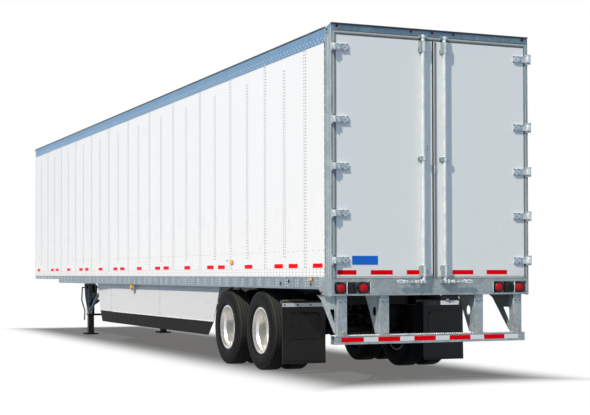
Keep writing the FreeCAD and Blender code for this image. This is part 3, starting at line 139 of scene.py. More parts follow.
# %% [markdown]
# # Node trees
#
# Floor, sky, finishes and recipes are all node trees, and one small class builds them. A
# socket that is given another socket gets a link; any other value is set on it.

# %% Short ways to build a tree
class Tree:
    """A node tree, and short ways to add nodes to it."""

    def __init__(self, tree, family="ShaderNode"):
        self.tree = tree
        self.family = family

    def feed(self, socket, value):
        if isinstance(value, bpy.types.NodeSocket):
            self.tree.links.new(value, socket)
        elif socket.type == "RGBA" and len(value) == 3:
            socket.default_value = (*value, 1)
        else:
            socket.default_value = value

    def node(self, kind, settings=None, **inputs):
        made = self.tree.nodes.new(kind if "Node" in kind else self.family + kind)
        for name, value in (settings or {}).items():
            setattr(made, name, value)
        for name, value in inputs.items():
            self.feed(made.inputs[name.replace("_", " ")], value)
        return made

    def step(self, kind, *values, **settings):
        """A node whose sockets are fed in order; gives its first output."""
        made = self.node(kind, settings)
        for socket, value in zip(made.inputs, values):
            self.feed(socket, value)
        return made.outputs[0]

    def math(self, how, *values):
        return self.step("ShaderNodeMath", *values, operation=how)

    def mix(self, factor, first, second):
        return self.node("Mix", {"data_type": "RGBA"}, Factor=factor, A=first, B=second).outputs["Result"]

    def levels(self, value, low=0.0, high=1.0, first=0.0, last=1.0):
        """A value from first to last, spread from low to high."""
        return self.node("MapRange", Value=value, From_Min=first, From_Max=last,
                         To_Min=low, To_Max=high).outputs[0]

    def ramp(self, factor, *stops):
        """Turns a value into colours or grey levels; each stop is (position, colour)."""
        made = self.node("ValToRGB", Fac=factor)
        row = made.color_ramp.elements
        for number, (position, colour) in enumerate(stops):
            stop = row[number] if number < 2 else row.new(position)
            stop.position = position
            stop.color = (*colour, 1) if hasattr(colour, "__len__") else (colour, colour, colour, 1)
        return made.outputs["Color"]


def mesh_object(name, points=(), faces=(), edges=(), material=None):
    """A linked object made of points, edges and faces, in place at the origin."""
    mesh = bpy.data.meshes.new(name)
    mesh.from_pydata([tuple(point) for point in points], edges, faces)
    mesh.validate()
    if material:
        mesh.materials.append(material)
    return linked(name, mesh)


print("node and mesh helpers ready")

# %% [markdown]
# ## The floor
#
# The trailer stands in a white studio. The floor is white to the eye but gives back less light
# than it seems to, as a grey yard would, which keeps the underside dark. Under and round the
# body the eye sees a painted shadow: an even grey glow, with the lamp's real shadow faint in
# it. It fades to plain white a short way outside the body, as on a studio sheet.

# %% Floor
FLOOR_REACH = 400.0
FLOOR_GREY = (0.13, 0.13, 0.13)  # what lights the underside
FLOOR_SEEN = (0.045, 0.05, 0.058)  # what the eye sees in the shadow
PAINTED_SHADOW_GLOW = 0.1595  # a grey glow the eye sees near the body: painted shadow
PAINTED_SHADOW_TONE = (1.025, 1.0, 0.968)
FADE_START, FADE_END = -0.35, 0.75  # metres outside the body where the floor turns white
FADE_AHEAD = 0.25  # the body counts as this much longer for the fade


def studio_floor():
    made = bpy.data.materials.new("studio_floor")
    made.use_nodes = True
    made.node_tree.nodes.clear()
    tree = Tree(made.node_tree)
    ray = tree.node("LightPath").outputs
    seen = tree.math("MAXIMUM", ray["Is Camera Ray"], ray["Is Glossy Ray"])
    place = tree.node("SeparateXYZ", Vector=tree.node("TexCoord").outputs["Object"]).outputs
    past = [tree.math("SUBTRACT", tree.math("ABSOLUTE", place[axis]), half)
            for axis, half in (("X", NOSE + FADE_AHEAD), ("Y", HALF))]
    fade = tree.node("MapRange", {"interpolation_type": "SMOOTHSTEP"}, Value=tree.math("MAXIMUM", *past),
                     From_Min=FADE_START, From_Max=FADE_END).outputs[0]
    matt = tree.step("BsdfDiffuse", tree.mix(seen, FLOOR_GREY, FLOOR_SEEN))
    # the grey glow is a painted shadow; the matt floor adds the lamp's real shadow, faintly
    painted_shadow = tree.step("Emission", PAINTED_SHADOW_TONE, tree.math("MULTIPLY", seen, PAINTED_SHADOW_GLOW))
    shaded = tree.step("AddShader", matt, painted_shadow)
    shown = tree.step("MixShader", tree.math("MULTIPLY", fade, seen), shaded, tree.step("Emission"))
    tree.node("OutputMaterial", Surface=shown)
    return made


reach = (-FLOOR_REACH, FLOOR_REACH)
corners = [(reach[x], reach[y], 0) for x, y in ((0, 0), (1, 0), (1, 1), (0, 1))]
floor = mesh_object("floor", corners, [(0, 1, 2, 3)], material=studio_floor())
print("floor", FLOOR_REACH, "m")

# %% [markdown]
# ## The light
#
# One hard lamp, high on the road side and a little behind, lights the side fully and grazes
# the doors, so each hinge and rod throws a short crisp shadow. The world fills in the rest
# with the blue of an open sky, stronger near the horizon, so shade on the doors and rails
# turns blue. The eye sees the world plain white, and metal and glass see it nearly so.

# %% Lamp and sky
LAMP_FROM = Vector((-0.31, 0.64, 0.7))
LAMP_STRENGTH = 4.0
LAMP_ANGLE = math.radians(1.3)
LAMP_TONE = (1.0, 0.91, 0.78)
SKY_STRENGTH = 0.7
SKY_LOW = (0.2, 0.575, 1.0)
SKY_HIGH = (0.85, 0.93, 1.0)
MIRRORED_WHITE = 0.55  # how far a mirrored sky turns to white

lamp = linked("key_lamp", bpy.data.lights.new("key_lamp", "SUN"))
lamp.data.energy = LAMP_STRENGTH
lamp.data.angle = LAMP_ANGLE
lamp.data.color = LAMP_TONE
lamp.rotation_mode = "QUATERNION"
lamp.rotation_quaternion = LAMP_FROM.to_track_quat("Z", "Y")

world = bpy.data.worlds.new("studio")
bpy.context.scene.world = world
world.use_nodes = True
world.node_tree.nodes.clear()
tree = Tree(world.node_tree)
ray = tree.node("LightPath").outputs
rise = tree.node("SeparateXYZ", Vector=tree.node("TexCoord").outputs["Generated"]).outputs["Z"]
sky = tree.ramp(rise, (0.03, SKY_LOW), (0.75, SKY_HIGH))
direct = tree.math("MAXIMUM", ray["Is Camera Ray"], ray["Is Glossy Ray"])
shown = tree.math("MAXIMUM", direct, ray["Is Transmission Ray"])
white = tree.math("MAXIMUM", tree.levels(shown, high=MIRRORED_WHITE), ray["Is Camera Ray"])
glow = tree.step("Background", tree.mix(white, sky, (1.0, 1.0, 1.0)), tree.levels(shown, SKY_STRENGTH, 1.0))
tree.node("OutputWorld", Surface=glow)
bpy.context.scene.view_settings.view_transform = "Standard"
print("lamp and sky ready")

# %% [markdown]
# # Finishes
#
# A finish is a node tree. Each of these starts from one shader and adds what the real surface
# has: the spangle of zinc, the drawn lines of a rail, the slight waves of a thin panel. All
# patterns read object coordinates. The pieces sit at the origin, so these are places on the
# trailer in metres, and a pattern has the same scale on every piece.

# %% A finish and the parts it is made of
class Finish(Tree):
    """A material with one shader, and short ways to add patterns to it."""

    def __init__(self, name, colour, rough, metal=0.0, **sockets):
        self.material = bpy.data.materials.new(name)
        self.material.use_nodes = True
        super().__init__(self.material.node_tree)
        self.shader = self.tree.nodes["Principled BSDF"]
        self.place = self.node("TexCoord").outputs["Object"]
        self.wear(Base_Color=colour, Roughness=rough, Metallic=metal, **sockets)

    def wear(self, **sockets):
        """Feeds the shader's sockets, each with a value or a link."""
        for socket, value in sockets.items():
            self.feed(self.shader.inputs[socket.replace("_", " ")], value)

    def stretched(self, scale, move=(0, 0, 0)):
        return self.node("Mapping", Vector=self.place, Scale=scale, Location=move).outputs[0]

    def noise(self, size, detail=2.0, stretch=None, rough=0.5, warp=0.0):
        """Soft noise with features about size metres across."""
        place = self.stretched(stretch) if stretch else self.place
        return self.node("TexNoise", Vector=place, Scale=1 / size, Detail=detail, Roughness=rough,
                         Distortion=warp).outputs["Fac"]

    def axis(self, name):
        return self.node("SeparateXYZ", Vector=self.place).outputs[name]

    def from_axle(self, end):
        """How far a point is from the rear or front axle."""
        flat = self.stretched((1, 0, 1), move=(-AXLES[end], 0, -HUB_Z))
        return self.node("VectorMath", {"operation": "LENGTH"}, Vector=flat).outputs["Value"]

    def bump(self, height, depth, strength=1.0):
        """Relief from a height value, depth metres high; a second call adds to the first."""
        made = self.node("Bump", Height=height, Distance=depth, Strength=strength)
        used = self.shader.inputs["Normal"].links
        if used:
            self.feed(made.inputs["Normal"], used[0].from_socket)
        self.wear(Normal=made.outputs[0])


def shade(colour, share):
    """A colour made darker or lighter."""
    return [share * value for value in colour]


print("finish helper ready")

# %% [markdown]
# ## Painted panels
#
# The side panels and doors are thin white skins on a plastic core. They are glossy and almost
# flat, with long shallow waves that bend reflections, and their shade drifts by a hair. Road
# film makes them a little duller low down, and the side turns greyer towards the nose.

# %% Panel paint
PANEL_WHITE = (0.9, 0.88, 0.883)
AHEAD_WHITE = (0.842, 0.806, 0.79)
DOOR_WHITE = (0.865, 0.88, 0.88)
FILM_TOP = 2.2
FILM_TINT = (0.8, 0.79, 0.76)


def panel_paint(name, colour):
    made = Finish(name, colour, 0.3, Coat_Weight=0.12, Coat_Roughness=0.08)
    drift = made.noise(1.3, stretch=(1, 1, 0.12))
    waves = made.noise(0.45, detail=1.0, stretch=(1, 1, 0.25))
    grain = made.noise(0.004, detail=3.0)
    rise = made.levels(made.axis("Z"), first=RAIL_TOP, last=FILM_TOP)
    spots = made.noise(0.22, detail=6.0, rough=0.65, stretch=(1, 1, 0.5))
    film = made.math("MULTIPLY", made.math("SUBTRACT", 1.0, rise), made.ramp(spots, (0.35, 0.0), (0.8, 0.55)))
    behind, ahead = (made.mix(drift, shade(tone, 0.965), tone) for tone in (colour, AHEAD_WHITE))
    base = made.mix(made.levels(made.axis("X"), first=REAR + 2, last=NOSE - 1), behind, ahead)
    made.wear(Base_Color=made.mix(made.math("MULTIPLY", film, 0.5), base, FILM_TINT),
              Roughness=made.math("ADD", made.levels(grain, 0.22, 0.32), made.math("MULTIPLY", film, 0.25)))
    made.bump(waves, 0.004, 0.5)
    made.bump(grain, 0.0002, 0.25)
    return made.material


side_paint = panel_paint("side_paint", PANEL_WHITE)
door_paint = panel_paint("door_paint", DOOR_WHITE)
print("panel paints:", side_paint.name, door_paint.name)

# %% [markdown]
# ## Hot dip galvanised steel
#
# Zinc freezes on steel in flat crystals, each tilted its own way, so every crystal has its own
# grey. A cell pattern gives each one a tone and a tilt, and a cloudy noise gives the larger
# dull and bright areas that a frame has when it leaves the bath.

# %% Galvanised
SPANGLE = 0.016
ZINCS = (  # name, bright, dull, size of its crystals
    ("zinc", (0.46, 0.505, 0.52), (0.21, 0.25, 0.27), SPANGLE),
    # The header zinc is darker and bluer: painted shade, worn by the header's face, the posts' rear faces and
    # the bolts at the guard posts' heads.
    ("header_zinc", (0.34, 0.47, 0.55), (0.13, 0.21, 0.28), SPANGLE),
    ("hinge_zinc", (0.62, 0.68, 0.72), (0.4, 0.47, 0.53), 0.008),
    # Near black zinc, painted shade for the flap brackets.
    ("shade_zinc", (0.1, 0.1, 0.098), (0.045, 0.043, 0.042), SPANGLE),
)


def galvanised(name, bright, dull, spangle):
    made = Finish(name, bright, 0.44, metal=0.35, Specular_IOR_Level=0.3)
    drift = made.node("TexNoise", Vector=made.place, Scale=0.6 / spangle, Detail=2.0).outputs["Color"]
    bent = made.step("VectorMath", drift, (spangle * 0.8,) * 3, made.place, operation="MULTIPLY_ADD")
    crystal = made.node("TexVoronoi", Vector=bent, Scale=1 / spangle).outputs["Color"]
    tone = made.ramp(crystal, (0.15, 0.0), (0.85, 1.0))
    clouds = made.noise(0.17, detail=4.0, rough=0.6, warp=0.6)
    runs = made.noise(0.035, detail=3.0, stretch=(1, 1, 0.12))
    share = made.math("MULTIPLY", made.levels(tone, 0.45, 1.0), made.ramp(clouds, (0.3, 0.25), (0.62, 1.0)))
    base = made.mix(share, dull, bright)
    made.wear(Base_Color=made.mix(made.ramp(runs, (0.6, 0.0), (0.78, 0.35)), base, shade(bright, 1.12)),
              Roughness=made.levels(made.mix(0.5, tone, clouds), 0.3, 0.58))
    made.bump(crystal, 0.0004, 0.35)
    made.bump(made.noise(0.05), 0.0012, 0.3)
    return made.material


zinc, header_zinc, hinge_zinc, shade_zinc = (galvanised(*row) for row in ZINCS)
print("galvanised steel:", [row[0] for row in ZINCS])

# %% [markdown]
# ## Rails and sheet aluminium
#
# The rails are drawn through a die, which leaves fine lines along their length. Their blue is
# a clear sky's reflection painted into their colour. The roof is one thin rolled sheet, softly
# dented over its bows.

# %% Aluminium
RAIL_PALE = (0.53, 0.56, 0.565)
ROOF_GREY = (0.52, 0.55, 0.58)
RAILS = (  # name, colour, pale patches, roughness
    # The blue in these colours is a painted reflection of a clear sky.
    ("top_rail_metal", (0.165, 0.3, 0.465), (0.245, 0.41, 0.585), 0.4),
    ("rail_metal", (0.175, 0.225, 0.265), RAIL_PALE, 0.4),
    ("nose_metal", (0.42, 0.5, 0.57), RAIL_PALE, 0.34),
)


def drawn_aluminium(name, colour, pale, rough):
    made = Finish(name, colour, rough, metal=0.4)
    lines = made.noise(0.004, detail=3.0, stretch=(0.01, 1, 1))
    runs = made.noise(0.045, detail=4.0, rough=0.6, stretch=(1, 1, 0.12))
    patches = made.noise(0.5, detail=3.0, stretch=(0.35, 1, 1))
    base = made.mix(made.ramp(runs, (0.36, 0.0), (0.64, 1.0)), colour, made.mix(patches, colour, pale))
    made.wear(Base_Color=made.mix(made.levels(lines, 0.0, 0.35), base, shade(colour, 0.8)),
              Roughness=made.levels(lines, rough - 0.08, rough + 0.12))
    made.bump(lines, 0.0003, 0.3)
    made.bump(made.noise(0.3, detail=1.0, stretch=(0.5, 1, 1)), 0.002, 0.3)
    return made.material


def roof_aluminium():
    made = Finish("roof_sheet_metal", ROOF_GREY, 0.38, metal=0.8)
    made.wear(Base_Color=made.mix(made.noise(1.7, detail=4.0), shade(ROOF_GREY, 0.88), ROOF_GREY),
              Roughness=made.levels(made.noise(0.01), 0.32, 0.46))
    made.bump(made.noise(0.6), 0.006, 0.4)
    return made.material


top_rail_metal, rail_metal, nose_metal = (drawn_aluminium(*row) for row in RAILS)
roof_metal = roof_aluminium()
print("aluminium:", [row[0] for row in RAILS], roof_metal.name)

# %% [markdown]
# ## Polished wheels
#
# The wheels are turned and polished: bright, with faint rings about the axle. Rings need the
# distance from the axle, so each axle has its own version of the finish. The inner wheels and
# the backs of the outer ones are dark grey and dull. The grey streaking on the bright metal is
# a painted reflection.

# %% Polished wheels
WHEEL_BRIGHT = (0.86, 0.85, 0.82)
WHEEL_GREY = (0.5, 0.495, 0.49)
WHEEL_REFLECTION_STREAK = (0.42, 0.42, 0.41)
INNER_DARK = (0.075, 0.072, 0.068)
RING = 0.0016
DARK_END, BRIGHT_START = 0.93, 0.975  # metres out from the middle, across the outer wheel's disc


def polished_wheel(end):
    made = Finish(f"polished_{end}_wheel", WHEEL_BRIGHT, 0.32, metal=0.85)
    rings = made.node("TexNoise", {"noise_dimensions": "1D"}, W=made.from_axle(end), Scale=1 / RING,
                      Detail=2.0).outputs["Fac"]
    smear = made.noise(0.12, detail=4.0)
    bright = made.mix(made.levels(smear, 0.0, 0.45), WHEEL_BRIGHT, WHEEL_GREY)
    # The grey smears and streaking stand for the reflections polished metal shows: painted reflection.
    reflection_streaks = made.ramp(made.noise(0.05, detail=3.0, rough=0.7, warp=1.2), (0.47, 0.0), (0.64, 0.35))
    outer = made.levels(made.math("ABSOLUTE", made.axis("Y")), first=DARK_END, last=BRIGHT_START)
    made.wear(Base_Color=made.mix(outer, INNER_DARK, made.mix(reflection_streaks, bright, WHEEL_REFLECTION_STREAK)),
              Metallic=made.levels(outer, 0.2, 0.85),
              Roughness=made.math("ADD", made.levels(rings, 0.22, 0.34), made.levels(smear, 0.0, 0.14)))
    made.bump(rings, 0.00012, 0.4)
    return made.material


wheel_metal = {end: polished_wheel(end) for end in AXLES}
print("wheels:", [made.name for made in wheel_metal.values()])

# %% [markdown]
# ## Castings, plain steel and rivets
#
# Cast hubs and drums are rough, and the drums have a first bloom of rust. Plated bolts, brass
# and the rivets differ only in tone, shine and grain.

# %% Castings, steel and rivets
def rough_metal(name, colour, dark, rough, metal, grain, relief):
    """Cast or plain metal: a grain, and patches where it is darker."""
    made = Finish(name, colour, rough, metal=metal)
    grains = made.noise(grain, detail=4.0, rough=0.6)
    patches = made.noise(0.09, detail=5.0, rough=0.6)
    made.wear(Base_Color=made.mix(made.ramp(patches, (0.4, 0.0), (0.65, 1.0)), colour, dark),
              Roughness=made.levels(grains, rough - 0.1, rough + 0.15))
    made.bump(grains, relief, 0.5)
    return made.material


ROUGH_METALS = (  # name, colour, dark patches, roughness, metal, grain, relief
    ("cast_metal", (0.58, 0.59, 0.6), (0.42, 0.43, 0.44), 0.45, 0.8, 0.002, 0.0005),
    ("roof_edge_metal", (0.15, 0.15, 0.14), (0.1, 0.1, 0.1), 0.5, 0.3, 0.004, 0.0002),
    ("drum_iron", (0.06, 0.055, 0.05), (0.1, 0.06, 0.04), 0.75, 0.25, 0.0025, 0.0008),
    ("greased_steel", (0.3, 0.29, 0.27), (0.1, 0.09, 0.07), 0.3, 0.9, 0.004, 0.0002),
    ("bright_zinc", (0.82, 0.84, 0.84), (0.66, 0.69, 0.7), 0.34, 0.35, 0.003, 0.0003),
    ("brass", (0.8, 0.62, 0.25), (0.5, 0.38, 0.16), 0.32, 0.9, 0.003, 0.0002),
    # Rivets of the white panels: near black, painted shade for the shadow round each head.
    ("panel_rivet", (0.075, 0.077, 0.08), (0.05, 0.052, 0.055), 0.6, 0.2, 0.003, 0.0002),
    ("rail_rivet", (0.72, 0.76, 0.79), (0.58, 0.63, 0.67), 0.35, 0.4, 0.003, 0.0002),
    # The header cap's dark navy is painted shade.
    ("cap_shade", (0.035, 0.042, 0.075), (0.02, 0.023, 0.04), 0.5, 0.2, 0.004, 0.0002),
)
(cast_metal, roof_edge_metal, drum_iron, greased_steel, bright_zinc, brass, panel_rivet, rail_rivet,
 cap_shade) = (rough_metal(*row) for row in ROUGH_METALS)
print("rough metals:", [row[0] for row in ROUGH_METALS])

# %% [markdown]
# ## Chassis paint
#
# The chassis is satin black with dust on it. The same paint in other colours covers the
# landing gear's brackets, the plate behind the licence and the air couplings.

# %% Chassis paint
DUST = (0.2, 0.18, 0.155)


def chassis_paint(name, colour, rough, dust):
    made = Finish(name, colour, rough, Specular_IOR_Level=0.2)
    grain = made.noise(0.003, detail=3.0)
    clouds = made.noise(0.12, detail=6.0, rough=0.65)
    dusty = made.math("MULTIPLY", made.ramp(clouds, (0.4, 0.0), (0.75, 1.0)), dust)
    made.wear(Base_Color=made.mix(dusty, colour, DUST),
              Roughness=made.levels(made.mix(0.5, grain, clouds), rough - 0.08, rough + 0.18))
    made.bump(grain, 0.0003, 0.35)
    return made.material


black_paint = chassis_paint("black_paint", (0.012, 0.012, 0.012), 0.42, 0.1)
leg_paint = chassis_paint("leg_paint", (0.4, 0.44, 0.455), 0.45, 0.25)
black_trim = chassis_paint("black_trim", (0.012, 0.012, 0.013), 0.38, 0.05)
plate_paint = chassis_paint("plate_paint", (0.78, 0.79, 0.78), 0.35, 0.1)
print("chassis paints ready")

# %% [markdown]
# ## Rubber
#
# Tyres and flaps are rubber: the tyre is matt and fine grained, the flap is smooth and a
# little glossy. The raised rings of a tyre's sidewall and the ribs of its tread are painted
# pale, as painted highlights, and a row of stops on the distance from the axle says where.

# %% Rubber
TYRE_BLACK = (0.0065, 0.0065, 0.007)
TYRE_DUSTY = (0.0165, 0.016, 0.0155)
TREAD_HIGHLIGHT = (0.05, 0.049, 0.047)
TYRE_HIGHLIGHT_RINGS = ((0.34, 0.0), (0.344, 0.8), (0.349, 0.0), (0.476, 0.0), (0.481, 1.0), (0.486, 0.0),
              (0.499, 0.0), (0.502, 1.0))  # radius, how pale: painted highlights on the bead ring, the wall ring and the ribs


def rubber(name, colour, dusty, rough, grain_depth, share=1.0, gloss=0.16):
    made = Finish(name, colour, rough, Specular_IOR_Level=gloss)
    grain = made.noise(0.0018, detail=3.0)
    clouds = made.noise(0.07, detail=6.0, rough=0.7)
    dust = made.math("MULTIPLY", made.ramp(clouds, (0.38, 0.0), (0.72, 1.0)), share)
    made.wear(Base_Color=made.mix(dust, colour, dusty),
              Roughness=made.levels(clouds, rough - 0.08, rough + 0.14))
    made.bump(grain, grain_depth, 0.4)
    return made


def tyre(end):
    made = rubber(f"{end}_tyre_rubber", TYRE_BLACK, TYRE_DUSTY, 0.52, 0.0004, 0.7, 0.05)
    plain = made.shader.inputs["Base Color"].links[0].from_socket
    # The pale rings are painted highlights.
    made.wear(Base_Color=made.mix(made.ramp(made.from_axle(end), *TYRE_HIGHLIGHT_RINGS), plain, TREAD_HIGHLIGHT))
    return made.material


tyre_rubber = {end: tyre(end) for end in AXLES}
bellows_rubber = rubber("bellows_rubber", (0.022, 0.022, 0.022), TYRE_DUSTY, 0.6, 0.0004).material
seal_rubber = rubber("seal_rubber", (0.2, 0.22, 0.23), (0.28, 0.3, 0.31), 0.6, 0.0003, 0.6).material
grey_seal = rubber("grey_seal", (0.52, 0.53, 0.5), (0.42, 0.42, 0.4), 0.5, 0.0003, 0.5).material
strip = rubber("strip_rubber", (0.016, 0.016, 0.015), (0.03, 0.029, 0.027), 0.6, 0.0004, 0.6, 0.03)
strip.bump(strip.noise(0.16, detail=1.0, stretch=(1, 1, 0.15)), 0.012, 0.5)
flap = rubber("flap_rubber", (0.013, 0.01, 0.009), (0.023, 0.017, 0.014), 0.24, 0.0003, 0.5, 0.24)
flap.bump(flap.noise(0.22), 0.01, 0.5)
print("rubbers ready")

# %% [markdown]
# ## Plastic sheet, lenses and tape
#
# The skirts are smooth white sheets. Lenses and reflective tape are moulded with small prisms,
# which a cell pattern stands for, and a lens has a clear skin over them.

# %% Plastic sheet, lenses and tape
def moulded(name, colour, rough, cell=0.0, depth=0.0, clear=0.0, dull=0.9, gloss=0.2):
    """Smooth plastic; with a cell size it has the small prisms of a lens or of reflective tape."""
    made = Finish(name, colour, rough, Coat_Weight=clear, Coat_Roughness=0.04, Specular_IOR_Level=gloss)
    clouds = made.noise(0.3, detail=4.0)
    base = made.mix(clouds, shade(colour, dull), colour)
    if cell:
        cells = made.node("TexVoronoi", Vector=made.place, Scale=1 / cell, Randomness=0.35)
        cells = cells.outputs["Distance"]
        pale = [min(1.0, value) for value in shade(colour, 1.5)]
        base = made.mix(made.levels(cells, 0.0, 0.45), base, pale)
        made.bump(cells, depth, 0.6)
    else:
        made.bump(clouds, 0.004, 0.4)
    grain = made.noise(0.01, detail=3.0)
    made.wear(Base_Color=base, Roughness=made.levels(grain, rough - 0.05, rough + 0.06))
    return made.material


skirt_sheet = moulded("skirt_sheet", (0.65, 0.645, 0.66), 0.34, dull=0.94)
red_lens = moulded("red_lens", (0.48, 0.006, 0.015), 0.16, cell=0.009, depth=0.002, clear=0.08, gloss=0.1)
dark_red_lens = moulded("dark_red_lens", (0.22, 0.004, 0.012), 0.16, cell=0.006, depth=0.001, clear=0.15)
amber_lens = moulded("amber_lens", (0.95, 0.33, 0.01), 0.16, cell=0.006, depth=0.001, clear=0.1)
red_tape = moulded("red_tape", (0.86, 0.002, 0.008), 0.4, cell=0.005, depth=0.0001, gloss=0.02)
white_tape = moulded("white_tape", (0.82, 0.84, 0.86), 0.28, cell=0.005, depth=0.0001, clear=0.2)
blue_plate = moulded("blue_plate", (0.002, 0.15, 0.72), 0.22, clear=0.05)
print("plastics, lenses and tape ready")

# %% [markdown]
# ## The wooden floor
#
# The load floor is laminated hardwood: long narrow sticks glued side by side, oiled, with the
# grain running along the trailer. It shows when the doors stand open.

# %% Hardwood
STICK = 0.028
STICK_LENGTH = 0.9
WOOD_TONES = ((0.33, 0.2, 0.1), (0.52, 0.35, 0.2))
WOOD_GRAIN = (0.22, 0.125, 0.06)


def laid_sticks():
    made = Finish("hardwood", (0.42, 0.27, 0.15), 0.5)
    laid = made.stretched((1 / STICK_LENGTH, 1 / STICK, 0.0))
    cell = made.node("TexVoronoi", Vector=laid, Scale=1.0, Randomness=0.0).outputs["Position"]
    tone = made.mix(made.node("TexWhiteNoise", Vector=cell).outputs["Value"], *WOOD_TONES)
    grain = made.noise(0.012, detail=6.0, stretch=(0.04, 1, 1))
    made.wear(Base_Color=made.mix(made.ramp(grain, (0.4, 0.0), (0.7, 0.6)), tone, WOOD_GRAIN),
              Roughness=made.levels(grain, 0.4, 0.62))
    made.bump(grain, 0.0005, 0.4)
    return made.material


hardwood = laid_sticks()
print("hardwood ready")

# %% [markdown]
# ## Give the fixed pieces their finishes
#
# One table says which finish each incoming piece wears. Pieces that a modelled one replaces
# later are in it too, so that nothing is left plain if a replacement is taken out.

# %% Dress the fixed pieces
DRESS = {
    side_paint: ("left_wall", "right_wall", "front_wall"),
    door_paint: ("left_door", "right_door"),
    zinc: ("rear_posts", "rear_sill", "door_fittings", "guard_bar", "guard_posts", "crossmembers",
           "roof_bows", "skirt_braces", "left_lock_rod", "right_lock_rod"),
    header_zinc: ("rear_header",),
    hinge_zinc: ("left_hinge_straps", "right_hinge_straps"),
    # The flap brackets wear near black zinc: painted shade.
    shade_zinc: ("flap_brackets",),
    top_rail_metal: ("top_rails",),
    rail_metal: ("bottom_rails",),
    nose_metal: ("front_frame",),
    roof_metal: ("roof_sheet",),
    hardwood: ("floor_boards",),
    black_paint: ("slider_rails", "coupler_plate", "landing_legs", "landing_feet", "cross_braces",
                  "landing_gearing", "bogie_frame", "trailing_arms", "axles", "shock_absorbers",
                  "brake_chambers", "air_tank"),
    leg_paint: ("leg_brackets",),
    greased_steel: ("kingpin",),
    cast_metal: ("service_box",),
    drum_iron: [f"{end}_{side}_hub" for end, side in WHEELS],
    bellows_rubber: ("air_springs",),
    flap.material: ("mud_flaps",),
    strip.material: ("skirt_strips",),
    skirt_sheet: ("skirt_panels",),
    plate_paint: ("licence_bracket",),
    red_lens: ("tail_lamps",),
    **{tyre_rubber[end]: (f"{end}_left_tyres", f"{end}_right_tyres") for end in AXLES},
    **{wheel_metal[end]: (f"{end}_left_rims", f"{end}_right_rims") for end in AXLES},
}

for finish, names in DRESS.items():
    for name in names:
        for slot in nodes[name].material_slots:
            slot.link = "OBJECT"
            slot.material = finish
print("not dressed:", sorted(set(nodes) - {name for names in DRESS.values() for name in names}))

# %% [markdown]
# # Shaping small pieces
#
# Brackets, lamps, seals and tape are single shapes in known places, so they are built straight
# into a mesh: a block, a turned shape, a plate cut to an outline, or a bent bar. Several may
# share one object when they wear the same finish. The edges get a small bevel, because real
# edges are never razor sharp and it is the bevel that catches the light.

# %% The shape builder
SMOOTH_UNDER = math.radians(38)
FULL_TURN = 2 * math.pi
AHEAD, LEFT, UP = Vector((1, 0, 0)), Vector((0, 1, 0)), Vector((0, 0, 1))
SQUARE_TO = {"x": (LEFT, UP, AHEAD), "y": (UP, AHEAD, LEFT), "z": (AHEAD, LEFT, UP)}  # across, up, along


def hand_over(made, body):
    """Lets an object ride on a body, and says what it is made of."""
    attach(made, body)
    print(f"{made.name}: {sum(len(face.vertices) - 2 for face in made.data.polygons)} triangles")
    return made


